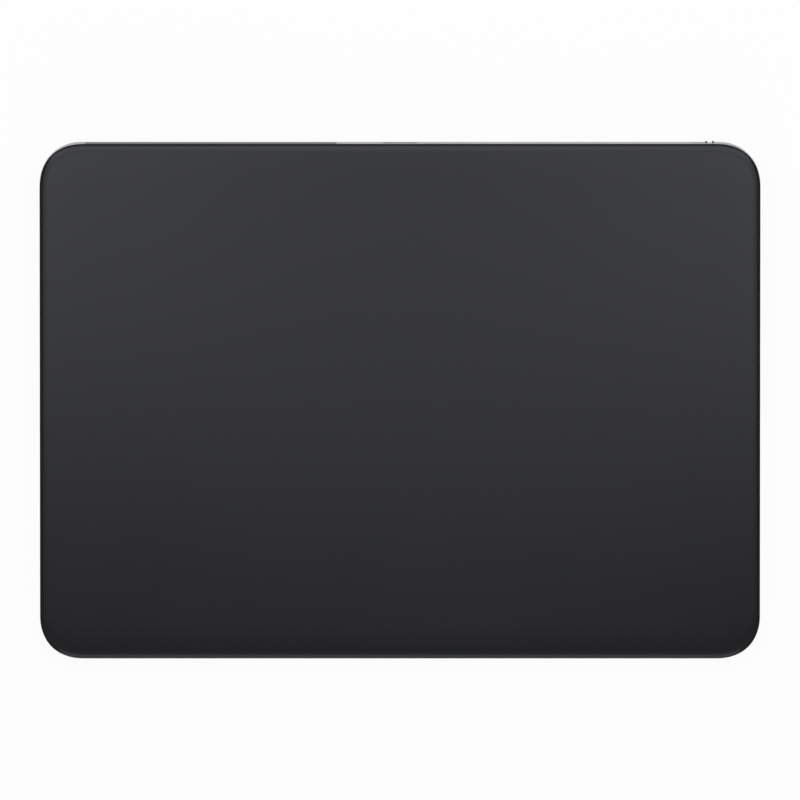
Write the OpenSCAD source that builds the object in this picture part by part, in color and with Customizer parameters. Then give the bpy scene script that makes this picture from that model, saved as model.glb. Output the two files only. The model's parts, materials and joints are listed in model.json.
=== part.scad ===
// Slim wedge-shaped trackpad. A glass touch plate rides on four force-sensing beams
// over an aluminium housing that holds the haptic drive, the battery, the boards,
// the charging port and the power switch.
// Origin on the desk under the middle of the pad, X to the right, Y to the rear, Z up.
// All sizes are in millimetres.

/* [Overall] */
// Width of the pad
pad_w = 160; // [146:1:200]
// Depth of the pad from front to rear
pad_d = 114.9; // [106:0.1:140]
// Height of the glass above the desk at the front edge
front_h = 4.9; // [4.5:0.1:6]
// Height of the glass above the desk at the rear edge
rear_h = 10.9; // [10:0.1:14]
// Corner radius in plan
corner_r = 9; // [7.5:0.5:12]

/* [Touch plate] */
// Thickness of the glass
glass_t = 0.9; // [0.7:0.1:1.2]
// Radius that rounds over the upper edge of the glass
glass_edge_r = 0.45; // [0.2:0.05:0.6]
// Thickness of the touch sensor board under the glass
sensor_t = 0.4; // [0.3:0.1:0.6]
// Thickness of the stiffener under the sensor board
stiffener_t = 0.6; // [0.4:0.1:0.8]
// How far the plate goes down when pressed
press_travel = 0.15; // [0.1:0.05:0.2]
// Gap left under the glass rim when the plate is pressed
rim_clear = 0.25; // [0.1:0.05:0.4]
// How far the plate shifts to each side for a haptic tap
tap_travel = 0.15; // [0.1:0.05:0.25]
// Gap left beside the plate when it is shifted
side_clear = 0.45; // [0.3:0.05:0.8]
// Side of the square touch controller chip
controller_s = 8; // [6:0.5:10]
// Thickness of the touch controller chip
controller_t = 0.9; // [0.6:0.1:1.2]

/* [Housing] */
// Thickness of the housing wall
wall = 1.8; // [1.4:0.1:2.4]
// Radius that rounds over the lower outer edge
base_r = 1.2; // [0.6:0.1:1.8]
// Width of the underside's border round the bottom cover
border_w = 3; // [2.6:0.1:4]
// How far the ledge reaches in past the border
ledge_w = 3.5; // [3:0.1:4.5]
// Thickness of the ledge
ledge_t = 0.8; // [0.6:0.1:1.1]

/* [Bottom cover and feet] */
// Thickness of the bottom cover
cover_t = 0.9; // [0.7:0.1:1.2]
// Seam round the bottom cover
cover_gap = 0.15; // [0.1:0.05:0.3]
// Thickness of the tape that bonds the cover to the ledge
cover_tape_t = 0.1; // [0.1:0.05:0.2]
// Height of the underside above the desk
foot_gap = 0.5; // [0.3:0.05:0.8]
// Diameter of a foot
foot_dia = 9; // [6:0.5:12]
// Thickness of a foot
foot_t = 1; // [0.9:0.05:1.2]
// Distance from the sides of the pad to the middle of a foot
foot_from_side = 17; // [14:0.5:24]
// Distance from the front and rear edges to the middle of a foot
foot_from_edge = 16; // [14:0.5:24]

/* [Antenna] */
// Length of the antenna window in the rear wall
window_l = 55.8; // [48:0.2:58]
// Distance from the window to the curve of the corner
window_margin = 1.1; // [1:0.1:4]
// Height of the window's sill above the ledge
window_sill = 0.5; // [0.3:0.1:1]
// Gap round the window in its notch
window_gap = 0.05; // [0.02:0.01:0.1]
// Thickness of the flange behind the wall
window_flange_t = 0.6; // [0.4:0.1:0.9]
// How far the flange laps the wall past the notch
window_lap = 1; // [0.5:0.1:1]
// Length of the antenna strip
antenna_l = 44; // [36:1:46]
// Height of the antenna strip
antenna_h = 4.4; // [3:0.1:5]
// Thickness of the antenna strip
antenna_t = 0.2; // [0.15:0.05:0.3]
// Diameter of the coaxial lead
coax_dia = 1; // [0.8:0.1:1.3]

/* [Charging port] */
// Width of the port's mouth
port_w = 7.5; // [6.5:0.1:9]
// Height of the port's mouth
port_h = 2.5; // [2.2:0.1:3.2]
// Depth of the shell from its mouth
port_l = 7; // [6:0.2:8]
// Thickness of the shell
port_shell_t = 0.25; // [0.2:0.05:0.35]
// How far the mouth sits in from the wall's outer face
port_recess = 0.15; // [0:0.05:0.4]
// Gap round the shell in the wall
port_gap = 0.08; // [0.05:0.01:0.2]
// Number of contacts
contact_count = 8; // [4:1:8]
// Distance from one contact to the next
contact_pitch = 0.62; // [0.55:0.01:0.7]

/* [Power switch] */
// Length of the knob
knob_l = 2.2; // [1.8:0.1:2.6]
// How far the knob slides
switch_travel = 2.2; // [1.6:0.1:2.4]
// How far the knob's ridges stand out of the wall
knob_stand = 0.35; // [0.2:0.05:0.6]
// Height of the slot
slot_h = 1.7; // [1.4:0.1:2.2]
// Gap above and below the knob in its slot
slide_gap = 0.08; // [0.05:0.01:0.15]
// Gap left at each end of the slot
slot_end_gap = 0.05; // [0.03:0.01:0.1]
// Distance from the slot to the curve of the corner
slot_margin = 1.1; // [0.8:0.1:3]
// Length of the switch case
switch_l = 7; // [6.4:0.1:7.4]
// Depth of the switch case
switch_d = 2.6; // [2.2:0.1:3]
// Height of the switch case
switch_h = 1.6; // [1.4:0.1:2]

/* [Battery] */
// Length of the battery cell
battery_l = 80; // [60:1:86]
// Width of the battery cell
battery_w = 34; // [24:1:36]
// Thickness of the battery cell
battery_t = 3.8; // [3:0.1:4.3]
// Thickness of the tape under the cell
battery_tape_t = 0.15; // [0.1:0.05:0.3]

/* [Boards] */
// Length of the main board
board_l = 38; // [36:1:42]
// Width of the main board
board_w = 33; // [32:1:35]
// Thickness of all boards
board_t = 0.8; // [0.6:0.1:1]
// Height of the boards above the ledge
board_rise = 0.5; // [0.3:0.1:0.8]
// Height of the shield can
shield_h = 1.7; // [1.4:0.1:2]
// Height of the cable sockets
socket_h = 1; // [0.8:0.1:1.3]
// Thickness of the flat cables
flex_t = 0.15; // [0.1:0.05:0.25]

/* [Haptic drive] */
// Thickness of the core
core_t = 1; // [0.8:0.1:1.2]
// Width of one of the core's poles
pole_w = 2.6; // [2:0.1:3]
// Distance from one pole to the next
pole_pitch = 5.6; // [5.2:0.1:6]
// Length of the poles
pole_l = 7; // [6:0.5:8]
// Thickness of the winding above and below a pole
coil_t = 0.35; // [0.25:0.05:0.45]
// Gap between the poles and the armature when the plate has shifted
air_clear = 0.25; // [0.15:0.05:0.5]
// Thickness of the bracket
bracket_t = 0.5; // [0.4:0.1:0.7]
// Thickness of the armature's blade
blade_t = 1.4; // [1:0.1:1.8]

/* [Force beams] */
// Length of a beam
beam_l = 24; // [20:0.5:28]
// Width of a beam's ends
beam_w = 7; // [6:0.5:8]
// Width of a beam's neck
neck_w = 4.5; // [3.5:0.5:5.5]
// Thickness of a beam
beam_t = 0.4; // [0.3:0.05:0.5]
// Thickness of the gel pads
gel_t = 0.3; // [0.2:0.05:0.4]
// Thickness of the spacers between beams and stiffener
spacer_t = 0.3; // [0.25:0.05:0.4]

/* [Screws] */
// Diameter of the screw shanks
screw_dia = 1.4; // [1.2:0.1:1.6]
// Diameter of the screw heads
head_dia = 2.6; // [2.2:0.1:2.8]
// Height of the screw heads
head_h = 0.5; // [0.4:0.1:0.6]

/* [Hidden] */
$fn = 64;

// The four corners: name, side and end
CORNERS = [
    ["front_left", -1, -1], ["front_right", 1, -1],
    ["rear_left", -1, 1], ["rear_right", 1, 1]
];

// Slope of the glass and its length along the slope
tilt = atan((rear_h - front_h) / pad_d);
slope_d = pad_d / cos(tilt);
// Reach of the blocks that cut or fill a whole side
reach = 2 * max(pad_w, pad_d);

// Depths below the top of the glass, square to it
rim_gap = press_travel + rim_clear;
rim_depth = glass_t + rim_gap;
sensor_depth = glass_t + sensor_t;
plate_depth = sensor_depth + stiffener_t;
beam_top_depth = plate_depth + spacer_t;
beam_depth = beam_top_depth + beam_t;
post_depth = beam_depth + gel_t;

// Heights above the desk
cover_top = foot_gap + cover_t;
ledge_z = cover_top + cover_tape_t;
ledge_top = ledge_z + ledge_t;
board_z = ledge_top + board_rise;
board_top = board_z + board_t;
port_z = board_top + port_shell_t + port_h / 2;

// Inner faces of the walls, and the end of the rear wall's straight stretch
inner_x = pad_w / 2 - wall;
inner_y = pad_d / 2 - wall;
flat_x = pad_w / 2 - corner_r;
// Inset of the opening inside the ledge
opening_inset = border_w + ledge_w;
smallest_r = 0.8;
function inset_r(inset) = max(corner_r - inset, smallest_r);

// Height of the stiffener's underside above a line at y
function plate_z(y) = front_h + (y + pad_d / 2) * tan(tilt) - plate_depth / cos(tilt);

// Screws
screw_r = screw_dia / 2;
head_r = head_dia / 2;
thread_gap = 0.03;
hole_gap = 0.1;
drive_depth = 0.25;
drive_r = 0.5;
boss_r = screw_r + 1;

// Rear strip for the port and the switch, between the rear wall and the battery
rear_strip = 16.65;
wall_room = 0.6;
part_room = 0.5;

// Corner posts, gel pads and beams
beam_from_edge = 13.5;
beam_y = pad_d / 2 - beam_from_edge;
post_l = 11;
post_w = beam_w + 2;
post_bite = 0.5;
gel_l = 8;
gel_margin = 1.2;
beam_margin = 1;
beam_end_l = 9;
eye_r = beam_w / 2;
beam_out_x = inner_x - beam_margin;
eye_x = beam_out_x - beam_l + eye_r;
spacer_r = 2.2;
gauge_l = 5;
gauge_w = 3;
gauge_t = 0.12;

// Battery, at the right behind the haptic drive
battery_x = inner_x - post_l - part_room - battery_l / 2;
battery_y = inner_y - rear_strip - battery_w / 2;
battery_z = cover_top + battery_tape_t;
battery_left = battery_x - battery_l / 2;
battery_edge_r = 0.8;
tape_inset = 2;
guard_l = 4;
guard_w = 20;
lead_w = 6;
lead_lap = 2.5;

// Main board, at the left behind the haptic drive
board_from_side = 6.2;
board_x = -inner_x + board_from_side + board_l / 2;
board_y = inner_y - rear_strip - part_room - board_w / 2;
board_right = board_x + board_l / 2;
board_left = board_x - board_l / 2;
board_rear = board_y + board_w / 2;
board_front = board_y - board_w / 2;
board_screw_inset = 2.2;
socket_d = 2.5;
socket_side = 1;

// Parts on the main board, from its left front corner
shield_at = [2, 14.5];
shield_l = 15.5;
shield_w = 13.5;
shield_sheet = 0.2;
radio_s = 6;
radio_t = 0.9;
processor_at = [20, 14.5];
processor_s = 9;
processor_t = 1;
power_at = [4, 8.5];
power_s = 5;
power_t = 0.9;

// Flat cable to the touch sensor, and the controller beside its end
sensor_flex_w = 8;
sensor_flex_at = [15, 6];
sensor_flex_x = board_left + sensor_flex_at[0];
sensor_flex_y = board_front + sensor_flex_at[1];
sensor_flex_foot = 4;
sensor_flex_lap = 6;
window_room = 2;
controller_x = sensor_flex_x + (sensor_flex_w + controller_s) / 2 + window_room;
controller_y = sensor_flex_y + sensor_flex_foot + sensor_flex_lap / 2;

// Flat cable to the port
port_flex_w = 4;
plug_from_right = 10;
port_flex_x = board_right - plug_from_right;
port_flex_end = 5.5;
port_board_d = 11.5;
port_board_y = inner_y - wall_room - port_board_d / 2;
port_board_front = port_board_y - port_board_d / 2;
port_screw_room = 5.85;
port_screw_x = port_w / 2 + port_screw_room;
edge_screw_inset = 3;
edge_screw_y = inner_y - edge_screw_inset;
flex_lap = 3;

// Port
port_face = pad_d / 2 - port_recess;
port_back_l = 2;
tongue_t = 0.35;
tongue_front = 0.6;
contact_w = 0.36;
contact_l = 3.4;
contact_t = 0.12;
fit_gap = 0.03;

// Power switch: knob, slot and the flange behind the wall
slot_l = knob_l + switch_travel + 2 * slot_end_gap;
slot_x = flat_x - slot_margin - slot_l / 2;
knob_x = slot_x + slot_l / 2 - slot_end_gap - knob_l / 2;
slot_r = 0.6;
knob_h = slot_h - 2 * slide_gap;
knob_r = slot_r - slide_gap;
knob_face = 0.15;
ridge_w = 0.4;
ridge_inset = 0.15;
flange_gap = 0.4;
flange_t = 0.7;
flange_lap = 0.45;
flange_l = knob_l + 2 * (switch_travel + flange_lap);
flange_rim = 0.85;
flange_h = slot_h + 2 * flange_rim;
flange_y = inner_y - flange_gap - flange_t;
nub_l = 1.2;
nub_h = 0.9;
nub_grip = 0.4;
nub_in = 1.2;
nub_gap = 0.05;
nub_play = 0.25;
nub_z = board_top + switch_h / 2;
switch_room = 1;
switch_face = flange_y - switch_room;
flange_room = 0.35;
switch_board_rear = flange_y - flange_room;
switch_board_d = 4.9;
switch_screw_gap = 0.15;
switch_screw_dx = switch_l / 2 + head_r + switch_screw_gap;
switch_board_w = 2 * (switch_screw_dx + head_r + flange_room);
switch_flex_w = 2.5;
switch_flex_y = port_board_front + port_flex_w;
switch_flex_lap = 1.6;

// Haptic drive: placed as far forward as its coils fit under the pressed plate
bracket_rise = 0.6;
bracket_z = cover_top + bracket_rise;
core_z = bracket_z + bracket_t;
coil_gap = 0.1;
coil_top = core_z + core_t + coil_gap + coil_t;
coil_w = 0.9;
coil_inset = 1;
coil_l = pole_l - 2 * coil_inset;
coil_room = 0.3;
pole_count = 4;
coil_half = pole_w / 2 + coil_gap + coil_w;
poles_half = (pole_count - 1) / 2 * pole_pitch + coil_half;
coil_rise = coil_top + press_travel + coil_room + plate_depth / cos(tilt) - front_h;
coil_front = coil_rise / tan(tilt) - pad_d / 2;
haptic_y = coil_front + poles_half;
air_gap = tap_travel + air_clear;
pole_face_x = -1;
core_back = 4;
core_back_x = pole_face_x - pole_l - core_back;
core_end = 1.2;
core_half = (pole_count - 1) / 2 * pole_pitch + pole_w / 2 + core_end;
blade_x = pole_face_x + air_gap;
armature_l = 2 * (core_half + core_end);
armature_seat = 5.8;
armature_flange_w = blade_t + armature_seat;
armature_flange_t = 0.5;
armature_screw_x = blade_x + blade_t + armature_seat / 2;
armature_screw_dy = 9;
blade_drop = 6;
bracket_ear = 6.5;
bracket_window_room = 1.2;
bracket_left = core_back_x - bracket_ear;
bracket_right = blade_x + blade_t + bracket_window_room + bracket_ear;
bracket_screw_inset = 2.2;
bracket_half = armature_l / 2 + bracket_window_room;
haptic_lead_w = 3;
haptic_lead_x = board_right - plug_from_right;
haptic_lead_y = haptic_y + haptic_lead_w;

module rounded_outline(w, d, r) {
    square([w - 2 * r, d], center = true);
    square([w, d - 2 * r], center = true);
    for (x = [-1, 1], y = [-1, 1])
        translate([x * (w / 2 - r), y * (d / 2 - r)])
            circle(r = r);
}

module rounded_plate(w, d, r, t) {
    linear_extrude(height = t)
        rounded_outline(w, d, r);
}

// Half section of a disc or rim with its upper edge rounded over
module rim_section(r, t, edge) {
    square([r, t - edge]);
    square([r - edge, t]);
    translate([r - edge, t - edge])
        intersection() {
            circle(r = edge);
            square(edge);
        }
}

// A rounded plate with its upper edge rounded over
module eased_plate(w, d, r, t, edge) {
    straight_x = w - 2 * r;
    straight_y = d - 2 * r;
    translate([-straight_x / 2, -straight_y / 2, 0])
        cube([straight_x, straight_y, t]);
    for (side = [0, 1]) {
        mirror([side, 0, 0])
            translate([straight_x / 2, straight_y / 2, 0])
                rotate([90, 0, 0])
                    linear_extrude(height = straight_y)
                        rim_section(r, t, edge);
        mirror([0, side, 0])
            translate([-straight_x / 2, straight_y / 2, 0])
                rotate([90, 0, 90])
                    linear_extrude(height = straight_x)
                        rim_section(r, t, edge);
        for (end = [0, 1])
            mirror([side, 0, 0])
                mirror([0, end, 0])
                    translate([straight_x / 2, straight_y / 2, 0])
                        rotate_extrude(angle = 90)
                            rim_section(r, t, edge);
    }
}

module stadium(w, h) {
    square([w - h, h], center = true);
    for (x = [-1, 1])
        translate([x * (w - h) / 2, 0])
            circle(d = h);
}

// A prism whose outline faces the rear, its rear face at y and its length to the front
module from_rear(x, y, z, l) {
    translate([x, y, z])
        rotate([90, 0, 0])
            linear_extrude(height = l)
                children();
}

// A box given by its middle in plan and its lower face
module plan_box(x, y, z, l, w, h) {
    translate([x - l / 2, y - w / 2, z])
        cube([l, w, h]);
}

// Frame of the touch plate: origin in the middle of the glass top, Z square to it
module tilted() {
    translate([0, -pad_d / 2, front_h])
        rotate([tilt, 0, 0])
            translate([0, slope_d / 2, 0])
                children();
}

// What lies lower than a plane parallel to the glass
module under_plate(depth) {
    intersection() {
        children();
        tilted()
            translate([-reach / 2, -reach / 2, -depth - reach])
                cube([reach, reach, reach]);
    }
}

// A screw with its head's seat at z = 0, pointing down
module screw(shank_l) {
    difference() {
        cylinder(r = head_r, h = head_h);
        translate([0, 0, head_h - drive_depth])
            cylinder(r = drive_r, h = drive_depth + hole_gap, $fn = 6);
    }
    translate([0, 0, -shank_l])
        cylinder(r = screw_r, h = shank_l);
}

module screw_hole(r, z, h) {
    translate([0, 0, z])
        cylinder(r = r, h = h);
}

// Places of the screws along the rear ledge
module port_screw_places() {
    for (side = [-1, 1])
        translate([side * port_screw_x, edge_screw_y, 0])
            children();
}

module switch_screw_places() {
    for (side = [-1, 1])
        translate([slot_x + side * switch_screw_dx, edge_screw_y, 0])
            children();
}

module board_screw_places() {
    for (x = [-1, 1], y = [-1, 1])
        translate([
            board_x + x * (board_l / 2 - board_screw_inset),
            board_y + y * (board_w / 2 - board_screw_inset),
            0
        ])
            children();
}

module bracket_screw_places() {
    for (x = [bracket_left + bracket_screw_inset, bracket_right - bracket_screw_inset], y = [-1, 1])
        translate([x, haptic_y + y * (bracket_half - bracket_screw_inset), 0])
            children();
}

module pole_places() {
    for (i = [0:pole_count - 1])
        translate([0, haptic_y + (i - (pole_count - 1) / 2) * pole_pitch, 0])
            children();
}

module corner_post(side, end) {
    under_plate(post_depth)
        plan_box(
            side * (inner_x + (post_bite - post_l) / 2), end * beam_y, ledge_z,
            post_l + post_bite, post_w, rear_h
        );
}

// Room above a post for its gel pad and beam
module beam_pocket(side, end) {
    pocket_l = beam_margin + beam_l + part_room;
    tilted()
        plan_box(
            side * (inner_x - pocket_l / 2), end * beam_y, -post_depth,
            pocket_l, post_w, post_depth
        );
}

module housing_ring() {
    difference() {
        under_plate(rim_depth)
            translate([0, 0, rear_h])
                mirror([0, 0, 1])
                    eased_plate(pad_w, pad_d, corner_r, rear_h - foot_gap, base_r);
        translate([0, 0, ledge_top])
            rounded_plate(pad_w - 2 * wall, pad_d - 2 * wall, inset_r(wall), rear_h);
        rounded_plate(pad_w - 2 * border_w, pad_d - 2 * border_w, inset_r(border_w), ledge_z);
        rounded_plate(
            pad_w - 2 * opening_inset, pad_d - 2 * opening_inset, inset_r(opening_inset), rear_h
        );
        for (corner = CORNERS)
            beam_pocket(corner[1], corner[2]);
    }
}

module window_notch(gap) {
    translate([
        -flat_x + window_margin + gap,
        inner_y,
        ledge_top + window_sill + gap
    ])
        cube([window_l - 2 * gap, wall, rear_h]);
}

module housing() {
    color("silver")
        difference() {
            union() {
                housing_ring();
                for (corner = CORNERS)
                    corner_post(corner[1], corner[2]);
                port_screw_places()
                    screw_hole(boss_r, ledge_z, board_z - ledge_z);
                switch_screw_places()
                    screw_hole(boss_r, ledge_z, board_z - ledge_z);
            }
            window_notch(0);
            from_rear(0, pad_d / 2 + wall, port_z, 3 * wall)
                stadium(
                    port_w + 2 * (port_shell_t + port_gap),
                    port_h + 2 * (port_shell_t + port_gap)
                );
            from_rear(slot_x, pad_d / 2 + wall, port_z, 3 * wall)
                rounded_outline(slot_l, slot_h, slot_r);
            port_screw_places()
                screw_hole(screw_r + thread_gap, 0, rear_h);
            switch_screw_places()
                screw_hole(screw_r + thread_gap, 0, rear_h);
        }
}

module antenna_window() {
    flange_clear = press_travel + side_clear;
    color("dimgray") {
        under_plate(rim_depth)
            window_notch(window_gap);
        under_plate(plate_depth + flange_clear)
            translate([
                -flat_x + window_margin - window_lap,
                inner_y - window_flange_t,
                ledge_top
            ])
                cube([window_l + 2 * window_lap, window_flange_t, rear_h]);
    }
}

module bottom_cover() {
    inset = border_w + cover_gap;
    color("silver")
        difference() {
            union() {
                translate([0, 0, foot_gap])
                    rounded_plate(pad_w - 2 * inset, pad_d - 2 * inset, inset_r(inset), cover_t);
                board_screw_places()
                    screw_hole(boss_r, foot_gap, board_z - foot_gap);
                bracket_screw_places()
                    screw_hole(boss_r, foot_gap, bracket_z - foot_gap);
            }
            for (corner = CORNERS)
                foot_place(corner[1], corner[2])
                    screw_hole(foot_dia / 2 + hole_gap, 0, foot_t);
            board_screw_places()
                screw_hole(screw_r + thread_gap, cover_top, board_z);
            bracket_screw_places()
                screw_hole(screw_r + thread_gap, foot_gap + cover_t / 2, board_z);
        }
}

module cover_tape() {
    outer = border_w + 2 * cover_gap;
    inner = opening_inset - cover_gap;
    color("black")
        translate([0, 0, cover_top])
            difference() {
                rounded_plate(pad_w - 2 * outer, pad_d - 2 * outer, inset_r(outer), cover_tape_t);
                translate([0, 0, -cover_tape_t])
                    rounded_plate(
                        pad_w - 2 * inner, pad_d - 2 * inner, inset_r(inner), 3 * cover_tape_t
                    );
            }
}

module foot_place(side, end) {
    translate([side * (pad_w / 2 - foot_from_side), end * (pad_d / 2 - foot_from_edge), 0])
        children();
}

module foot(side, end) {
    foot_edge_r = 0.25;
    color("dimgray")
        foot_place(side, end)
            translate([0, 0, foot_t])
                mirror([0, 0, 1])
                    rotate_extrude()
                        rim_section(foot_dia / 2, foot_t, foot_edge_r);
}

module battery_cell() {
    color("darkslategray")
        translate([battery_x, battery_y, battery_z])
            eased_plate(battery_l, battery_w, battery_edge_r * 2, battery_t, battery_edge_r);
}

module battery_tape() {
    color("white")
        plan_box(
            battery_x, battery_y, cover_top,
            battery_l - 2 * tape_inset, battery_w - 2 * tape_inset, battery_tape_t
        );
}

module battery_guard_board() {
    color("darkgreen")
        plan_box(battery_left - guard_l / 2, battery_y, board_z, guard_l, guard_w, board_t);
}

module battery_lead() {
    lead_end = board_right - lead_lap;
    lead_start = battery_left - guard_l + lead_lap;
    color("goldenrod")
        plan_box(
            (lead_start + lead_end) / 2, battery_y, board_top,
            lead_start - lead_end, lead_w, flex_t
        );
}

module main_board() {
    color("darkgreen")
        difference() {
            plan_box(board_x, board_y, board_z, board_l, board_w, board_t);
            board_screw_places()
                screw_hole(screw_r + hole_gap, cover_top, rear_h);
        }
}

module board_shield() {
    color("lightgray")
        translate([board_left + shield_at[0], board_front + shield_at[1], board_top])
            difference() {
                cube([shield_l, shield_w, shield_h]);
                translate([shield_sheet, shield_sheet, -shield_sheet])
                    cube([shield_l - 2 * shield_sheet, shield_w - 2 * shield_sheet, shield_h]);
            }
}

module radio_chip() {
    color("black")
        plan_box(
            board_left + shield_at[0] + shield_l / 2, board_front + shield_at[1] + shield_w / 2,
            board_top, radio_s, radio_s, radio_t
        );
}

module processor() {
    color("black")
        translate([board_left + processor_at[0], board_front + processor_at[1], board_top])
            cube([processor_s, processor_s, processor_t]);
}

module power_chip() {
    color("black")
        translate([board_left + power_at[0], board_front + power_at[1], board_top])
            cube([power_s, power_s, power_t]);
}

// Sockets at the ends of the flat cables that plug into the main board
module board_sockets() {
    color("ivory") {
        plan_box(
            port_flex_x, board_rear - port_flex_end - socket_d / 2, board_top,
            port_flex_w + 2 * socket_side, socket_d, socket_h
        );
        plan_box(
            board_right - lead_lap - socket_d / 2, battery_y, board_top,
            socket_d, lead_w + 2 * socket_side, socket_h
        );
        plan_box(
            haptic_lead_x, board_front + flex_lap + socket_d / 2, board_top,
            haptic_lead_w + 2 * socket_side, socket_d, socket_h
        );
        plan_box(
            sensor_flex_x, sensor_flex_y - socket_d / 2, board_top,
            sensor_flex_w + 2 * socket_side, socket_d, socket_h
        );
    }
}

module main_board_screws() {
    color("gray")
        board_screw_places()
            translate([0, 0, board_top])
                screw(board_top - cover_top - hole_gap);
}

module antenna() {
    color("goldenrod")
        translate([
            -flat_x + window_margin + (window_l - antenna_l) / 2,
            inner_y - window_flange_t - antenna_t,
            ledge_top + window_sill
        ])
            cube([antenna_l, antenna_t, antenna_h]);
}

module antenna_coax() {
    plug_s = 2.6;
    plug_h = coax_dia + 2 * hole_gap;
    plug_y = board_rear - plug_s;
    coax_x = board_left + shield_at[0] + shield_l + plug_s;
    coax_z = board_top + plug_h / 2;
    coax_start = inner_y - window_flange_t - antenna_t;
    color("dimgray") {
        from_rear(coax_x, coax_start, coax_z, coax_start - plug_y)
            circle(d = coax_dia);
        plan_box(coax_x, plug_y, board_top, plug_s, plug_s, plug_h);
    }
}

module port_shell() {
    color("lightgray")
        from_rear(0, port_face, port_z, port_l)
            difference() {
                stadium(port_w + 2 * port_shell_t, port_h + 2 * port_shell_t);
                stadium(port_w, port_h);
            }
}

// Back wall of the port and the tongue that carries the contacts
module port_insulator() {
    tongue_l = port_l - tongue_front - port_back_l;
    color("black") {
        from_rear(0, port_face - port_l + port_back_l, port_z, port_back_l)
            stadium(port_w - 2 * fit_gap, port_h - 2 * fit_gap);
        from_rear(0, port_face - tongue_front, port_z, tongue_l)
            intersection() {
                stadium(port_w - 2 * fit_gap, port_h - 2 * fit_gap);
                translate([-port_w / 2, tongue_t - 3 * port_h / 2])
                    square([port_w, port_h]);
            }
    }
}

module port_contacts() {
    color("gold")
        for (i = [0:contact_count - 1])
            plan_box(
                (i - (contact_count - 1) / 2) * contact_pitch,
                port_face - port_l + port_back_l + contact_l / 2,
                port_z - port_h / 2 + tongue_t,
                contact_w, contact_l, contact_t
            );
}

module port_board() {
    color("darkgreen")
        difference() {
            plan_box(
                0, port_board_y, board_z,
                2 * (port_screw_x + head_r + wall_room), port_board_d, board_t
            );
            port_screw_places()
                screw_hole(screw_r + hole_gap, ledge_z, rear_h);
        }
}

module port_screws() {
    color("gray")
        port_screw_places()
            translate([0, 0, board_top])
                screw(board_top - ledge_z);
}

module port_flex() {
    flex_right = -port_screw_x + flex_lap;
    flex_left = port_flex_x - port_flex_w / 2;
    flex_front = board_rear - port_flex_end;
    flex_rear = port_board_front + port_flex_w;
    color("goldenrod") {
        translate([flex_left, port_board_front, board_top])
            cube([flex_right - flex_left, port_flex_w, flex_t]);
        translate([flex_left, flex_front, board_top])
            cube([port_flex_w, flex_rear - flex_front, flex_t]);
    }
}

module switch_board() {
    color("darkgreen")
        difference() {
            plan_box(
                slot_x, switch_board_rear - switch_board_d / 2, board_z,
                switch_board_w, switch_board_d, board_t
            );
            switch_screw_places()
                screw_hole(screw_r + hole_gap, ledge_z, rear_h);
        }
}

module switch_case() {
    color("lightgray")
        difference() {
            plan_box(slot_x, switch_face - switch_d / 2, board_top, switch_l, switch_d, switch_h);
            plan_box(
                slot_x, switch_face, nub_z - nub_h / 2 - nub_gap,
                nub_l + switch_travel + 2 * nub_play, 2 * (nub_in + nub_play), nub_h + 2 * nub_gap
            );
        }
}

module switch_screws() {
    color("gray")
        switch_screw_places()
            translate([0, 0, board_top])
                screw(board_top - ledge_z);
}

module switch_flex() {
    flex_left = port_screw_x - flex_lap;
    flex_right = slot_x - switch_board_w / 2 + switch_flex_lap;
    flex_rear = switch_board_rear - switch_board_d + switch_flex_lap;
    color("goldenrod") {
        translate([flex_left, switch_flex_y - switch_flex_w / 2, board_top])
            cube([flex_right - flex_left, switch_flex_w, flex_t]);
        translate([flex_right - switch_flex_lap, switch_flex_y - switch_flex_w / 2, board_top])
            cube([switch_flex_lap, flex_rear - switch_flex_y + switch_flex_w / 2, flex_t]);
    }
}

module haptic_bracket() {
    window_left = core_back_x + core_back;
    window_right = blade_x + blade_t + bracket_window_room;
    color("gray")
        difference() {
            translate([bracket_left, haptic_y - bracket_half, bracket_z])
                cube([bracket_right - bracket_left, 2 * bracket_half, bracket_t]);
            translate([
                window_left,
                haptic_y - armature_l / 2 - bracket_window_room / 2,
                cover_top
            ])
                cube([
                    window_right - window_left,
                    armature_l + bracket_window_room,
                    rear_h
                ]);
            bracket_screw_places()
                screw_hole(screw_r + hole_gap, cover_top, rear_h);
        }
}

module haptic_core() {
    color("dimgray") {
        translate([core_back_x, haptic_y - core_half, core_z])
            cube([core_back, 2 * core_half, core_t]);
        pole_places()
            translate([core_back_x, -pole_w / 2, core_z])
                cube([core_back + pole_l, pole_w, core_t]);
    }
}

module haptic_coils() {
    coil_x = pole_face_x - pole_l / 2;
    color("orangered")
        pole_places()
            difference() {
                plan_box(
                    coil_x, 0, core_z - coil_gap - coil_t,
                    coil_l, 2 * coil_half, core_t + 2 * (coil_gap + coil_t)
                );
                plan_box(
                    coil_x, 0, core_z - coil_gap,
                    pole_l, pole_w + 2 * coil_gap, core_t + 2 * coil_gap
                );
            }
}

module haptic_screws() {
    color("gray")
        bracket_screw_places()
            translate([0, 0, core_z])
                screw(core_z - cover_top);
}

// Flat cable that climbs from the bracket to the main board
module haptic_lead() {
    lead_left = haptic_lead_x - haptic_lead_w / 2;
    lead_right = bracket_left + flex_lap;
    riser_x = bracket_left - flex_lap;
    color("goldenrod") {
        translate([riser_x, haptic_lead_y - haptic_lead_w / 2, core_z])
            cube([lead_right - riser_x, haptic_lead_w, flex_t]);
        translate([riser_x, haptic_lead_y - haptic_lead_w / 2, core_z])
            cube([flex_t, haptic_lead_w, board_top + flex_t - core_z]);
        translate([lead_left, haptic_lead_y - haptic_lead_w / 2, board_top])
            cube([riser_x + flex_t - lead_left, haptic_lead_w, flex_t]);
        translate([lead_left, haptic_lead_y - haptic_lead_w / 2, board_top])
            cube([
                haptic_lead_w,
                board_front + flex_lap - haptic_lead_y + haptic_lead_w / 2,
                flex_t
            ]);
    }
}

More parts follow.
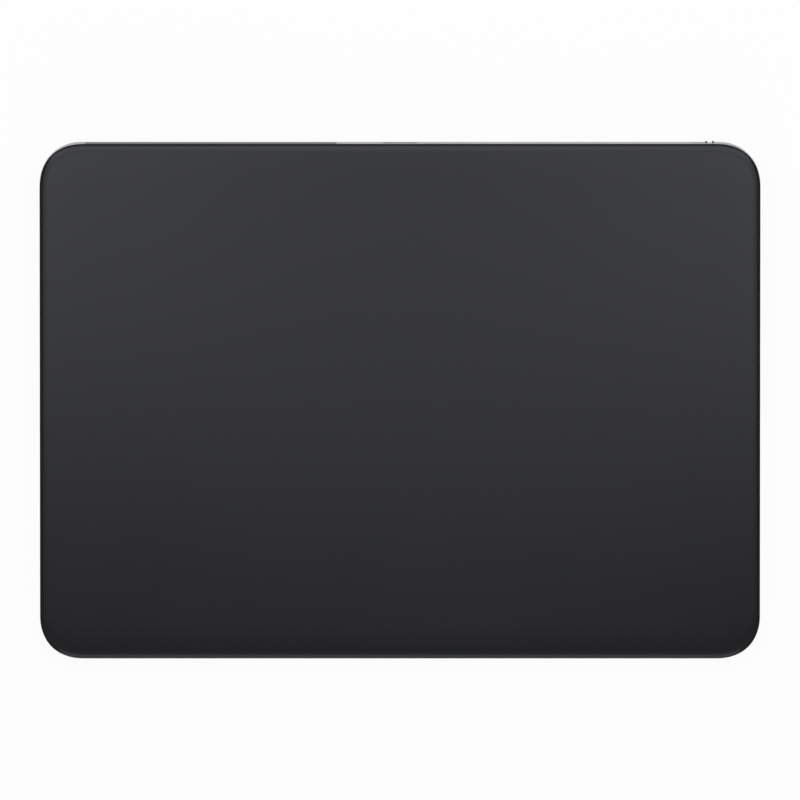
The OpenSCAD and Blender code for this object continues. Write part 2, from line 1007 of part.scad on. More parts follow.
// Flat cable from the main board up to the underside of the sensor board
module sensor_flex() {
    riser_y = sensor_flex_y + sensor_flex_foot;
    color("goldenrod") {
        plan_box(
            sensor_flex_x, sensor_flex_y + sensor_flex_foot / 2, board_top,
            sensor_flex_w, sensor_flex_foot, flex_t
        );
        under_plate(sensor_depth)
            plan_box(sensor_flex_x, riser_y, board_top, sensor_flex_w, flex_t, rear_h);
        tilted()
            plan_box(
                sensor_flex_x, riser_y + sensor_flex_lap / 2, -sensor_depth - flex_t,
                sensor_flex_w, sensor_flex_lap, flex_t
            );
    }
}

module gel_pads() {
    gel_w = beam_w - part_room;
    color("lightblue")
        tilted()
            for (corner = CORNERS)
                plan_box(
                    corner[1] * (inner_x - gel_margin - gel_l / 2), corner[2] * beam_y,
                    -post_depth, gel_l, gel_w, gel_t
                );
}

// Spring leaf from its gel pad to the eye that is screwed to the stiffener
module force_beam(side, end) {
    color("lightsteelblue")
        tilted()
            translate([0, end * beam_y, -beam_depth])
                mirror([side < 0 ? 1 : 0, 0, 0])
                    linear_extrude(height = beam_t)
                        difference() {
                            union() {
                                translate([beam_out_x - beam_end_l / 2, 0])
                                    rounded_outline(beam_end_l, beam_w, smallest_r);
                                translate([eye_x, -neck_w / 2])
                                    square([beam_out_x - beam_end_l / 2 - eye_x, neck_w]);
                                translate([eye_x, 0])
                                    circle(r = eye_r);
                            }
                            translate([eye_x, 0])
                                circle(r = screw_r + hole_gap);
                        }
}

module strain_gauges() {
    gauge_x = (eye_x + eye_r + beam_out_x - beam_end_l) / 2;
    color("orange")
        tilted()
            for (corner = CORNERS)
                plan_box(
                    corner[1] * gauge_x, corner[2] * beam_y, -beam_depth - gauge_t,
                    gauge_l, gauge_w, gauge_t
                );
}

module touch_glass() {
    color("black")
        tilted()
            translate([0, 0, -glass_t])
                eased_plate(pad_w, slope_d, corner_r, glass_t, glass_edge_r);
}

module under_plate_outline() {
    plate_inset = wall + tap_travel + side_clear;
    rounded_outline(pad_w - 2 * plate_inset, pad_d - 2 * plate_inset, inset_r(plate_inset));
}

module sensor_board() {
    color("darkgreen")
        tilted()
            translate([0, 0, -sensor_depth])
                linear_extrude(height = sensor_t)
                    under_plate_outline();
}

module eye_places() {
    for (corner = CORNERS)
        translate([corner[1] * eye_x, corner[2] * beam_y, 0])
            children();
}

module armature_screw_places() {
    for (i = [-1:1])
        translate([armature_screw_x, haptic_y + i * armature_screw_dy, 0])
            children();
}

// Steel plate with a window for the controller and the flat cable
module stiffener() {
    window_left = sensor_flex_x - sensor_flex_w / 2 - window_room;
    window_right = controller_x + controller_s / 2 + window_room;
    window_front = min(
        sensor_flex_y + sensor_flex_foot, controller_y - controller_s / 2
    ) - window_room;
    window_rear = max(
        sensor_flex_y + sensor_flex_foot + sensor_flex_lap, controller_y + controller_s / 2
    ) + window_room;
    color("gray")
        tilted()
            translate([0, 0, -plate_depth])
                linear_extrude(height = stiffener_t)
                    difference() {
                        under_plate_outline();
                        translate([window_left, window_front])
                            square([window_right - window_left, window_rear - window_front]);
                        eye_places()
                            circle(r = screw_r + thread_gap);
                        armature_screw_places()
                            circle(r = screw_r + thread_gap);
                    }
}

module touch_controller() {
    color("black")
        tilted()
            plan_box(
                controller_x, controller_y, -sensor_depth - controller_t,
                controller_s, controller_s, controller_t
            );
}

module beam_spacers() {
    color("lightgray")
        tilted()
            eye_places()
                translate([0, 0, -beam_top_depth])
                    linear_extrude(height = spacer_t)
                        difference() {
                            circle(r = spacer_r);
                            circle(r = screw_r + hole_gap);
                        }
}

module beam_screws() {
    color("gray")
        tilted()
            eye_places()
                translate([0, 0, -beam_depth])
                    mirror([0, 0, 1])
                        screw(beam_depth - sensor_depth - hole_gap);
}

// Steel angle under the stiffener whose blade hangs in front of the poles
module haptic_armature() {
    color("dimgray")
        difference() {
            tilted()
                translate([blade_x, haptic_y - armature_l / 2, -plate_depth])
                    union() {
                        translate([0, 0, -armature_flange_t])
                            cube([armature_flange_w, armature_l, armature_flange_t]);
                        translate([0, 0, -blade_drop])
                            cube([blade_t, armature_l, blade_drop]);
                    }
            plan_box(blade_x, haptic_y, core_z - reach, reach, reach, reach);
            tilted()
                armature_screw_places()
                    screw_hole(screw_r + hole_gap, -2 * plate_depth, 2 * plate_depth);
        }
}

module armature_screws() {
    color("gray")
        tilted()
            armature_screw_places()
                translate([0, 0, -plate_depth - armature_flange_t])
                    mirror([0, 0, 1])
                        screw(armature_flange_t + stiffener_t - hole_gap);
}

module power_slider() {
    color("silver")
        difference() {
            union() {
                from_rear(knob_x, pad_d / 2 + knob_face, port_z, pad_d / 2 + knob_face - flange_y)
                    rounded_outline(knob_l, knob_h, knob_r);
                for (side = [-1, 1])
                    from_rear(
                        knob_x + side * (knob_l / 2 - ridge_inset - ridge_w / 2),
                        pad_d / 2 + knob_stand, port_z, knob_stand
                    )
                        stadium_up(ridge_w, knob_h - 2 * ridge_inset);
                plan_box(
                    knob_x, flange_y + flange_t / 2, port_z - flange_h / 2,
                    flange_l, flange_t, flange_h
                );
            }
            plan_box(
                knob_x, flange_y, nub_z - nub_h / 2 - nub_gap,
                nub_l + 2 * nub_gap, 2 * (nub_grip + nub_gap), nub_h + 2 * nub_gap
            );
        }
}

module stadium_up(w, h) {
    rotate([0, 0, 90])
        stadium(h, w);
}

module switch_actuator() {
    color("black")
        translate([knob_x - nub_l / 2, switch_face - nub_in, nub_z - nub_h / 2])
            cube([nub_l, flange_y + nub_grip - switch_face + nub_in, nub_h]);
}

housing();
antenna_window();
bottom_cover();
cover_tape();
for (corner = CORNERS)
    foot(corner[1], corner[2]);
battery_cell();
battery_tape();
battery_guard_board();
battery_lead();
main_board();
board_shield();
radio_chip();
processor();
power_chip();
board_sockets();
main_board_screws();
antenna();
antenna_coax();
port_shell();
port_insulator();
port_contacts();
port_board();
port_screws();
port_flex();
switch_board();
switch_case();
switch_screws();
switch_flex();
haptic_bracket();
haptic_core();
haptic_coils();
haptic_screws();
haptic_lead();
sensor_flex();
gel_pads();
for (corner = CORNERS)
    force_beam(corner[1], corner[2]);
strain_gauges();
touch_glass();
sensor_board();
stiffener();
touch_controller();
beam_spacers();
beam_screws();
haptic_armature();
armature_screws();
power_slider();
switch_actuator();
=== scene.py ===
# %% [markdown]
# # A slim glass trackpad
# The measured model comes in as a fixed frame: every solid already sits at its real size and place,
# in metres, with X to the right, Y to the rear and Z up. This lesson gives those solids their finishes
# and swaps the ones whose look matters most for modelled meshes. Nothing is ever moved to fit.

# %% Load the frame
import json
import math

import bmesh
import bpy
from mathutils import Matrix, Vector


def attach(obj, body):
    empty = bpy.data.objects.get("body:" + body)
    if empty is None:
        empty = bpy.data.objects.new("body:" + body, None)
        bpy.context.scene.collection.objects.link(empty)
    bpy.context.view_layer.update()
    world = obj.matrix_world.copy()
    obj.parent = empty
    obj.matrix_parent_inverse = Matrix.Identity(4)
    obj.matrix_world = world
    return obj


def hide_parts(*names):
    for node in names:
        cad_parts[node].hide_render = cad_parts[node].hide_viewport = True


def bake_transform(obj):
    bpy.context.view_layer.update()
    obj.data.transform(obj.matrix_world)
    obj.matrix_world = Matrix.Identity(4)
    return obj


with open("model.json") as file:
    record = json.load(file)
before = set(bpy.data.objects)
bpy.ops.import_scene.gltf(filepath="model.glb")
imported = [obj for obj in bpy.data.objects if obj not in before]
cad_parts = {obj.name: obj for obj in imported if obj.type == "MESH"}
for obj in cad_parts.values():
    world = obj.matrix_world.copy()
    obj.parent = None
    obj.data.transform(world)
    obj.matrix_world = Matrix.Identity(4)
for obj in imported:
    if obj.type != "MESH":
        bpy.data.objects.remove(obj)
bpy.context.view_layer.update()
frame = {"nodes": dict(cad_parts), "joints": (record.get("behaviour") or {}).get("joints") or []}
nodes = frame["nodes"]
MM = 0.001
print("solids in the frame:", len(nodes))

# %% [markdown]
# ## Camera
# Product pictures of flat things are taken from far away with a long lens, so that the sides stay
# parallel. The camera stands high above the pad and leans a little to the rear, which lets a thin
# strip of the rear wall show above the glass. A long lens at a real distance keeps that mild perspective.

# %% Camera above the pad
FRAME_ACROSS = 177.78 * MM
LENS = 1500
SENSOR = 36
REAR_LEAN = math.radians(3.7)
AIM = Vector((0, 0.08 * MM, 3.1 * MM))

camera_data = bpy.data.cameras.new("camera")
camera_data.lens = LENS
camera_data.sensor_width = SENSOR
camera_distance = FRAME_ACROSS * LENS / SENSOR
camera_data.clip_end = 3 * camera_distance
camera = bpy.data.objects.new("camera", camera_data)
camera.location = AIM + camera_distance * Vector((0, math.sin(REAR_LEAN), math.cos(REAR_LEAN)))
camera.rotation_euler = (-REAR_LEAN, 0, 0)
bpy.context.scene.collection.objects.link(camera)
bpy.context.scene.camera = camera
bpy.context.scene.view_settings.view_transform = "Standard"
print("camera distance in metres:", round(camera_distance, 2))

# %% [markdown]
# ## Helpers for nodes
# Floor, room and finishes are all node trees. Building one by hand takes three moves again and again:
# add a node, type a value into a socket or link another node to it, and do arithmetic on two values.
# Three helpers keep the rest of the lesson short.

# %% Node helpers
def wire(finish, node, sockets):
    """Sets sockets by name or number: a socket is linked, and a number or colour is typed in."""
    for name, value in sockets.items():
        if isinstance(value, bpy.types.NodeSocket):
            finish.node_tree.links.new(value, node.inputs[name])
        else:
            node.inputs[name].default_value = value


def add_node(finish, kind, sockets, **settings):
    node = finish.node_tree.nodes.new(kind)
    for name, value in settings.items():
        setattr(node, name, value)
    wire(finish, node, sockets)
    return node


def combined(finish, kind, first, second):
    """Arithmetic on two varying values, such as MULTIPLY or ADD."""
    node = add_node(finish, "ShaderNodeMath", {0: first, 1: second}, operation=kind)
    return node.outputs["Value"]


print("node helpers ready")

# %% [markdown]
# ## Floor
# The pad lies on a plain white sweep. The floor is a white diffuse plane that also glows evenly for the
# camera and for mirror-like rays, so it reads as paper white in the picture and in the metal, while the
# diffuse part still takes a soft shadow. The glow never lights the object.

# %% White floor
FLOOR_HALF = 30
FLOOR_WHITE = (0.9, 0.9, 0.9, 1)
FLOOR_GLOW_SHARE = 0.92


def seeing_rays(finish):
    """1 for rays that look at a surface, also in a mirror or through glass, and 0 for lighting rays."""
    ray = add_node(finish, "ShaderNodeLightPath", {}).outputs
    total = combined(finish, "ADD", ray["Is Camera Ray"], ray["Is Glossy Ray"])
    total = combined(finish, "ADD", total, ray["Is Transmission Ray"])
    return combined(finish, "MINIMUM", total, 1.0)


floor_finish = bpy.data.materials.new("white_floor")
floor_finish.use_nodes = True
floor_finish.node_tree.nodes.clear()
floor_finish.cycles.emission_sampling = "NONE"
seen = seeing_rays(floor_finish)
glow_share = combined(floor_finish, "MULTIPLY", seen, FLOOR_GLOW_SHARE)
paper = add_node(floor_finish, "ShaderNodeBsdfDiffuse", {"Color": FLOOR_WHITE})
glow = add_node(floor_finish, "ShaderNodeEmission", {"Color": (1, 1, 1, 1), "Strength": 1.0})
shaders = {0: glow_share, 1: paper.outputs["BSDF"], 2: glow.outputs["Emission"]}
blend = add_node(floor_finish, "ShaderNodeMixShader", shaders)
add_node(floor_finish, "ShaderNodeOutputMaterial", {"Surface": blend.outputs["Shader"]})

floor_mesh = bmesh.new()
bmesh.ops.create_grid(floor_mesh, x_segments=1, y_segments=1, size=FLOOR_HALF)
floor_data = bpy.data.meshes.new("floor")
floor_mesh.to_mesh(floor_data)
floor_mesh.free()
floor_data.materials.append(floor_finish)
floor = bpy.data.objects.new("floor", floor_data)
bpy.context.scene.collection.objects.link(floor)
print("floor is", 2 * FLOOR_HALF, "metres wide")

# %% [markdown]
# ## Softboxes
# Black glass shows little but what it mirrors, so the lamps are placed by what the glass sees. A wide box
# hangs overhead: the rear of the pad mirrors its middle and the front only its edge, which gives the slow
# fall from grey to near black. A short strip in the middle softens that edge, and a strip on each side
# lifts the rear corners. A brighter box behind draws the rim along the rear edge, a low one in front the
# thin line along the front edge, and a weak fill above that one keeps the rounding from going black.

# %% Softboxes
NEAR = 0.5
FAR = 0.8
STRIP_OFFSET = 0.125


def softbox(name, distance, start, end, width, brightness, sideways=0):
    """A lamp across the pad that spans two angles, where 0 is overhead and 90 the rear horizon.

    A brightness of 1 is white."""
    middle = math.radians(start + end) / 2
    place = Vector((0, distance * math.sin(middle), distance * math.cos(middle)))
    lamp = bpy.data.lights.new(name, "AREA")
    lamp.shape = "RECTANGLE"
    lamp.size = width
    lamp.size_y = 2 * distance * math.tan(math.radians(end - start) / 2)
    lamp.energy = brightness * math.pi * lamp.size * lamp.size_y
    holder = bpy.data.objects.new(name, lamp)
    holder.location = place + Vector((sideways, 0, 0))
    holder.rotation_euler = (-place).to_track_quat("-Z", "Y").to_euler()
    holder.visible_camera = False
    bpy.context.scene.collection.objects.link(holder)
    print(name, "measures", round(lamp.size, 2), "by", round(lamp.size_y, 2), "metres")


softbox("overhead_softbox", NEAR, -12, 14, 0.9, 1.11)
softbox("rear_softbox", NEAR, 14, 46, 0.9, 1.9)
softbox("middle_strip", NEAR, -17, -12, 0.1, 0.27)
softbox("left_strip", NEAR, -6, 6, 0.15, 0.8, sideways=-STRIP_OFFSET)
softbox("right_strip", NEAR, -6, 6, 0.15, 0.8, sideways=STRIP_OFFSET)
softbox("front_fill", FAR, -44, -24, 1.4, 0.17)
softbox("front_softbox", FAR, -84, -44, 0.7, 1.12)

# %% [markdown]
# ## Room
# The room is an even dim grey, which fills the shadows. Rays that look at it, but not the lighting ones,
# find a white band above the horizon. A low view then meets the white floor without a dark line, and the
# aluminium walls mirror white.

# %% Room
ROOM_LIGHT = 0.28
HORIZON_BAND = (0.10, 0.18)


def spread(finish, value, low, high, start=0.3, end=0.7):
    """Stretches a value from start to end over the range from low to high."""
    sockets = {"Value": value, "From Min": start, "From Max": end, "To Min": low, "To Max": high}
    return add_node(finish, "ShaderNodeMapRange", sockets).outputs["Result"]


room = bpy.data.worlds.new("room")
room.use_nodes = True
direction = add_node(room, "ShaderNodeTexCoord", {}).outputs["Generated"]
elevation = add_node(room, "ShaderNodeSeparateXYZ", {"Vector": direction}).outputs["Z"]
horizon = combined(room, "MULTIPLY", spread(room, elevation, 1, 0, *HORIZON_BAND), seeing_rays(room))
background = room.node_tree.nodes["Background"]
wire(room, background, {
    "Color": (1, 1, 1, 1),
    "Strength": spread(room, horizon, ROOM_LIGHT, 1, 0, 1),
})
bpy.context.scene.world = room
print("room light:", ROOM_LIGHT)

# %% [markdown]
# ## Patterns
# Each finish is a node material around one Principled shader. The patterns read Object coordinates, so
# a grain that is 0.1 mm across on the housing is 0.1 mm across on a screw as well. A few helpers cover
# most needs: a noise of a given size, a ramp between two tones, a colour mixed into a pattern, and a
# relief that turns noise into bumps.

# %% Pattern helpers
def start_finish(name):
    """A new material, its shader and the place of a point on the object."""
    finish = bpy.data.materials.new(name)
    finish.use_nodes = True
    shader = finish.node_tree.nodes["Principled BSDF"]
    place = add_node(finish, "ShaderNodeTexCoord", {}).outputs["Object"]
    return finish, shader, place


def grain(finish, place, size, detail=3.0):
    """Noise with blotches about size across."""
    sockets = {"Vector": place, "Scale": 1 / size, "Detail": detail}
    return add_node(finish, "ShaderNodeTexNoise", sockets).outputs["Fac"]


def tones(finish, value, dark, light, start=0.3, end=0.7):
    """A ramp between two colours."""
    node = add_node(finish, "ShaderNodeValToRGB", {"Fac": value})
    low, high = node.color_ramp.elements
    low.position = start
    low.color = (*dark, 1)
    high.position = end
    high.color = (*light, 1)
    return node.outputs["Color"]


def mixed(finish, share, pattern, colour):
    """Mixes a plain colour into a pattern by a share that varies over the surface."""
    sockets = {"Factor": share, 6: pattern, 7: (*colour, 1)}
    return add_node(finish, "ShaderNodeMix", sockets, data_type="RGBA").outputs[2]


def relief(finish, height, depth, strength=1.0):
    """Bumps of the given depth."""
    sockets = {"Height": height, "Distance": depth, "Strength": strength}
    return add_node(finish, "ShaderNodeBump", sockets).outputs["Normal"]


print("pattern helpers ready")

# %% [markdown]
# ## Blasted and anodised aluminium
# The housing and its cover are milled from aluminium, blasted with fine beads and anodised clear. The
# blasting leaves even pits about a tenth of a millimetre wide, so the gloss and the relief share one
# fine noise. The lower edge is handled and slides on desks, so its grain is rubbed a little smoother. The
# inner walls of the port and the switch slot get a painted shade: their colour is darkened for the shadow
# there.

# %% Aluminium finish
def span(points):
    """The lowest and highest corners of the box round some points."""
    low = Vector([min(point[axis] for point in points) for axis in range(3)])
    high = Vector([max(point[axis] for point in points) for axis in range(3)])
    return low, high


def node_box(node):
    """A solid's lowest and highest corners."""
    return span(nodes[node].bound_box)


rear_face = node_box("housing")[1].y
# The box below marks the inner walls of the port and the switch slot, where shade is painted into the
# colour.
RECESS_SHADE_DEPTH = (rear_face - 0.05 * MM, rear_face - 0.02 * MM)
RECESS_SHADE_INNER = (55 * MM, 55.2 * MM)
RECESS_SHADE_BOTTOM = (3.2 * MM, 3.35 * MM)
RECESS_SHADE_TOP = (6.9 * MM, 7.1 * MM)
RECESS_SHADE_REACH = (69.3 * MM, 69.5 * MM)
RUBBED_HEIGHT = (0.9 * MM, 2.4 * MM)


def axes(finish, place):
    """The X, Y and Z of a place."""
    return add_node(finish, "ShaderNodeSeparateXYZ", {"Vector": place}).outputs


def blasted_aluminium():
    finish, shader, place = start_finish("blasted_aluminium")
    pits = grain(finish, place, 0.12 * MM, detail=2)
    cloud = grain(finish, place, 9 * MM)
    across, depth, height = axes(finish, place)
    ragged = combined(finish, "ADD", height, spread(finish, grain(finish, place, 2 * MM), 0, 0.8 * MM))
    rubbed = spread(finish, ragged, 1, 0, *RUBBED_HEIGHT)
    # Painted shade: this mask darkens the inner walls of the port and slot recesses.
    cut = spread(finish, depth, 1, 0, *RECESS_SHADE_DEPTH)
    cut = combined(finish, "MULTIPLY", cut, spread(finish, depth, 0, 1, *RECESS_SHADE_INNER))
    cut = combined(finish, "MULTIPLY", cut, spread(finish, height, 0, 1, *RECESS_SHADE_BOTTOM))
    cut = combined(finish, "MULTIPLY", cut, spread(finish, height, 1, 0, *RECESS_SHADE_TOP))
    off_middle = combined(finish, "ABSOLUTE", across, 0.0)
    cut = combined(finish, "MULTIPLY", cut, spread(finish, off_middle, 1, 0, *RECESS_SHADE_REACH))
    gloss = spread(finish, pits, 0.34, 0.48)
    polish = combined(finish, "MULTIPLY", rubbed, 0.07)
    plain = tones(finish, cloud, (0.56, 0.565, 0.575), (0.60, 0.605, 0.615))
    rubbed_tone = mixed(finish, combined(finish, "MULTIPLY", rubbed, 0.5), plain, (0.66, 0.665, 0.67))
    wire(finish, shader, {
        "Metallic": 1.0,
        "Specular Tint": (0.48, 0.48, 0.49, 1),
        # The dark colour mixed in here is the painted shade of the port and slot recesses.
        "Base Color": mixed(finish, cut, rubbed_tone, (0.16, 0.16, 0.165)),
        "Roughness": combined(finish, "SUBTRACT", gloss, polish),
        "Normal": relief(finish, pits, 0.010 * MM),
    })
    return finish


aluminium = blasted_aluminium()
print("made", aluminium.name)

# %% [markdown]
# ## Slider finish
# The switch is a small aluminium knob that slides in a slot of the rear wall. Two ribs at its ends give
# the nail a hold, and from above they show as two dark dots. That darkness is painted shade: the ribs get
# a near-black, matt colour for the shadow on them. The ribs are told from the knob by their distance from
# the knob's middle and by how far they stand out of the wall.

# %% Slider finish
knob_low, knob_high = node_box("power_slider")
knob_middle = (knob_low.x + knob_high.x) / 2
# Where the ribs lie; shade is painted onto them as a near-black colour.
SHADED_RIB_PLACE = 0.75 * MM
SHADED_RIB_HALF = 0.22 * MM
SHADED_RIB_START = rear_face + 0.02 * MM
SHADED_RIB_BLUR = 0.02 * MM


def slider_aluminium_painted_shade():
    finish, shader, place = start_finish("slider_aluminium_painted_shade")
    pits = grain(finish, place, 0.1 * MM, detail=2)
    across, depth, _ = axes(finish, place)
    off_middle = combined(finish, "ABSOLUTE", combined(finish, "SUBTRACT", across, knob_middle), 0.0)
    off_shaded_rib = combined(finish, "ABSOLUTE", combined(finish, "SUBTRACT", off_middle, SHADED_RIB_PLACE), 0.0)
    # Painted shade: this rib mask turns the ribs near black and matt.
    rib_shade = spread(finish, off_shaded_rib, 1, 0, SHADED_RIB_HALF, SHADED_RIB_HALF + SHADED_RIB_BLUR)
    standing_out = spread(finish, depth, 0, 1, SHADED_RIB_START, SHADED_RIB_START + SHADED_RIB_BLUR)
    rib_shade = combined(finish, "MULTIPLY", rib_shade, standing_out)
    plain = tones(finish, pits, (0.54, 0.545, 0.555), (0.62, 0.625, 0.635))
    gloss = spread(finish, pits, 0.34, 0.46)
    rib_shade_matt = spread(finish, rib_shade, 0, 0.4, 0, 1)
    # The near-black rib colour below is painted shade.
    wire(finish, shader, {
        "Metallic": spread(finish, rib_shade, 1, 0, 0, 1),
        "Base Color": mixed(finish, rib_shade, plain, (0.035, 0.035, 0.037)),
        "Roughness": combined(finish, "ADD", gloss, rib_shade_matt),
        "Specular IOR Level": spread(finish, rib_shade, 0.5, 0.1, 0, 1),
        "Normal": relief(finish, pits, 0.003 * MM),
    })
    return finish


aluminium_with_painted_rib_shade = slider_aluminium_painted_shade()
print("made", aluminium_with_painted_rib_shade.name)

# %% [markdown]
# ## Etched black glass
# The touch surface is a pane of clear glass, printed black on its back and acid-etched on top so that a
# finger glides. Light is mirrored softly by the etched face and what gets through is swallowed by the
# ink. A dark dielectric with a medium gloss shows that best: a very fine etch in relief and gloss, and
# slow faint changes where the etch is a touch denser. A thin coat against grease makes the mirrored light
# a little weaker and cooler, so the index is lower than that of bare glass and the tint leans to blue.

# %% Glass finish
def etched_black_glass():
    finish, shader, place = start_finish("etched_black_glass")
    etch = grain(finish, place, 0.05 * MM, detail=1)
    patch = grain(finish, place, 18 * MM, detail=2)
    gloss = combined(finish, "ADD", spread(finish, etch, 0.20, 0.24), spread(finish, patch, -0.008, 0.008))
    wire(finish, shader, {
        "Base Color": tones(finish, patch, (0.0064, 0.0066, 0.0071), (0.0070, 0.0072, 0.0078)),
        "Roughness": gloss,
        "IOR": 1.3925,
        "Specular Tint": (0.915, 0.936, 1, 1),
        "Normal": relief(finish, etch, 0.0006 * MM),
    })
    return finish


black_glass = etched_black_glass()
print("made", black_glass.name)

# %% [markdown]
# ## Moulded plastics and rubber
# Radio waves don't pass aluminium, so the rear wall has a window of smoked plastic. The port's tongue and
# the switch's nub are black nylon, the sockets are pale heat-proof plastic, and the feet are grey rubber.
# All are moulded, so one function gives each a slow change of tone and the fine spark-eroded grain of
# its mould, and only the sizes differ.

# %% Plastic and rubber finishes
def grained_finish(name, dark, light, tone_size, rough, grain_size, grain_depth, **values):
    """A finish with slow changes of tone and a fine grain in its gloss and relief."""
    finish, shader, place = start_finish(name)
    fine = grain(finish, place, grain_size)
    wire(finish, shader, {
        "Base Color": tones(finish, grain(finish, place, tone_size), dark, light),
        "Roughness": spread(finish, fine, *rough),
        "Normal": relief(finish, fine, grain_depth),
    })
    wire(finish, shader, {key.replace("_", " "): value for key, value in values.items()})
    return finish


window_plastic = grained_finish(
    "smoked_window_plastic", (0.105, 0.106, 0.109), (0.120, 0.121, 0.124), 6 * MM,
    (0.50, 0.60), 0.15 * MM, 0.004 * MM, IOR=1.28)
black_nylon = grained_finish(
    "black_nylon", (0.014, 0.014, 0.015), (0.022, 0.022, 0.023), 1.5 * MM,
    (0.42, 0.55), 0.12 * MM, 0.006 * MM)
socket_plastic = grained_finish(
    "pale_socket_plastic", (0.60, 0.56, 0.47), (0.68, 0.64, 0.56), 2 * MM,
    (0.45, 0.58), 0.1 * MM, 0.004 * MM)
foot_rubber = grained_finish(
    "grey_foot_rubber", (0.085, 0.085, 0.088), (0.12, 0.12, 0.123), 3 * MM,
    (0.68, 0.85), 0.09 * MM, 0.010 * MM)
print("made the moulded finishes")

# %% [markdown]
# ## Metals inside
# Spring beams, brackets and shields are rolled stainless sheet, whose fine lines run along the roll. The
# port's shell is steel with a colour far darker than steel, a painted shade for the inside of the port's
# mouth. The screws are zinc plated, the magnetic core is a stack of thin dark steel sheets, and the
# contacts are gold plated. Stretching a noise far along one axis gives the rolling lines, and squeezing it
# upwards gives the stacked sheets.

# %% Metal finishes
def stretched(finish, place, scale):
    """The same place, squeezed along each axis, for brushed or layered patterns."""
    return add_node(finish, "ShaderNodeMapping", {"Vector": place, "Scale": scale}).outputs["Vector"]


def lined_metal(name, dark, light, line_scale, line_size, rough, line_depth):
    """Metal with fine lines, made from a noise that is stretched along one axis."""
    finish, shader, place = start_finish(name)
    lines = grain(finish, stretched(finish, place, line_scale), line_size)
    wire(finish, shader, {
        "Metallic": 1.0,
        "Base Color": tones(finish, lines, dark, light),
        "Roughness": spread(finish, lines, *rough),
        "Normal": relief(finish, lines, line_depth),
    })
    return finish


rolled_steel = lined_metal(
    "rolled_steel", (0.47, 0.465, 0.455), (0.56, 0.555, 0.545),
    (0.03, 1, 1), 0.08 * MM, (0.24, 0.36), 0.002 * MM)
# Painted shade: the port shell's colour is far darker than steel, for the shadow inside the port's mouth.
port_steel_painted_shade = lined_metal(
    "port_steel_painted_shade", (0.17, 0.17, 0.175), (0.24, 0.24, 0.245),
    (1, 0.04, 1), 0.07 * MM, (0.30, 0.42), 0.002 * MM)
plated_screw_steel = lined_metal(
    "plated_screw_steel", (0.33, 0.33, 0.34), (0.43, 0.43, 0.44),
    (1, 1, 0.2), 0.1 * MM, (0.22, 0.36), 0.003 * MM)
stacked_core_steel = lined_metal(
    "stacked_core_steel", (0.13, 0.13, 0.14), (0.25, 0.25, 0.26),
    (0.02, 0.02, 1), 0.1 * MM, (0.34, 0.5), 0.01 * MM)
contact_gold = lined_metal(
    "contact_gold", (0.72, 0.48, 0.16), (0.83, 0.60, 0.25),
    (1, 0.05, 1), 0.06 * MM, (0.16, 0.28), 0.001 * MM)
print("made the metals")

# %% [markdown]
# ## Circuit boards and chips
# A board is glass cloth under a green lacquer, with copper tracks that stand up a little under it and
# gold plated pads left bare. A brick pattern whose mortar is the track gives straight runs with short
# links, and small round cells give the pads. The chips are black epoxy with fine filler grains.

# %% Board and chip finishes
def lacquered_board():
    finish, shader, place = start_finish("lacquered_board")
    weave = grain(finish, place, 0.4 * MM)
    brick_sockets = {
        "Vector": place, "Scale": 1 / (6 * MM), "Mortar Size": 0.010, "Mortar Smooth": 0.2,
        "Brick Width": 0.62, "Row Height": 0.085,
    }
    track = add_node(finish, "ShaderNodeTexBrick", brick_sockets, offset_frequency=3).outputs["Fac"]
    routed = spread(finish, grain(finish, place, 5 * MM, detail=1), 0, 1, 0.42, 0.46)
    track = combined(finish, "MULTIPLY", track, routed)
    dot_sockets = {"Vector": place, "Scale": 1 / (1.3 * MM), "Randomness": 0.35}
    dots = add_node(finish, "ShaderNodeTexVoronoi", dot_sockets).outputs["Distance"]
    pad = spread(finish, dots, 1, 0, 0.16, 0.19)
    placed = spread(finish, grain(finish, place, 4 * MM, detail=1), 0, 1, 0.54, 0.56)
    pad = combined(finish, "MULTIPLY", pad, placed)
    lacquer = tones(finish, weave, (0.006, 0.040, 0.022), (0.009, 0.052, 0.030))
    tracked = mixed(finish, track, lacquer, (0.020, 0.105, 0.058))
    wire(finish, shader, {
        "Base Color": mixed(finish, pad, tracked, (0.80, 0.57, 0.24)),
        "Metallic": pad,
        "Roughness": spread(finish, weave, 0.26, 0.36),
        "Normal": relief(finish, combined(finish, "ADD", track, pad), 0.02 * MM),
    })
    return finish


board_lacquer = lacquered_board()
chip_epoxy = grained_finish(
    "filled_chip_epoxy", (0.016, 0.016, 0.017), (0.028, 0.028, 0.029), 1.2 * MM,
    (0.48, 0.64), 0.05 * MM, 0.004 * MM)
print("made", board_lacquer.name, "and", chip_epoxy.name)

# %% [markdown]
# ## Flat cable film
# Flat cables are amber film with copper tracks inside. Each cable carries a value that counts its tracks
# from one side to the other, and the finish darkens the film over every track, also round a bend.

# %% Flat cable film
def amber_film():
    finish, shader, place = start_finish("amber_film")
    cloud = grain(finish, place, 1.5 * MM)
    across = add_node(finish, "ShaderNodeAttribute", {}, attribute_name="across").outputs["Fac"]
    track = spread(finish, combined(finish, "PINGPONG", across, 0.5), 0, 1, 0.20, 0.26)
    film = tones(finish, cloud, (0.36, 0.17, 0.022), (0.44, 0.22, 0.035))
    wire(finish, shader, {
        "Base Color": mixed(finish, track, film, (0.27, 0.105, 0.018)),
        "Roughness": spread(finish, cloud, 0.24, 0.34),
        "Normal": relief(finish, track, 0.012 * MM),
        "Coat Weight": 0.3,
        "Coat Roughness": 0.15,
    })
    return finish


flat_cable_film = amber_film()
print("made", flat_cable_film.name)

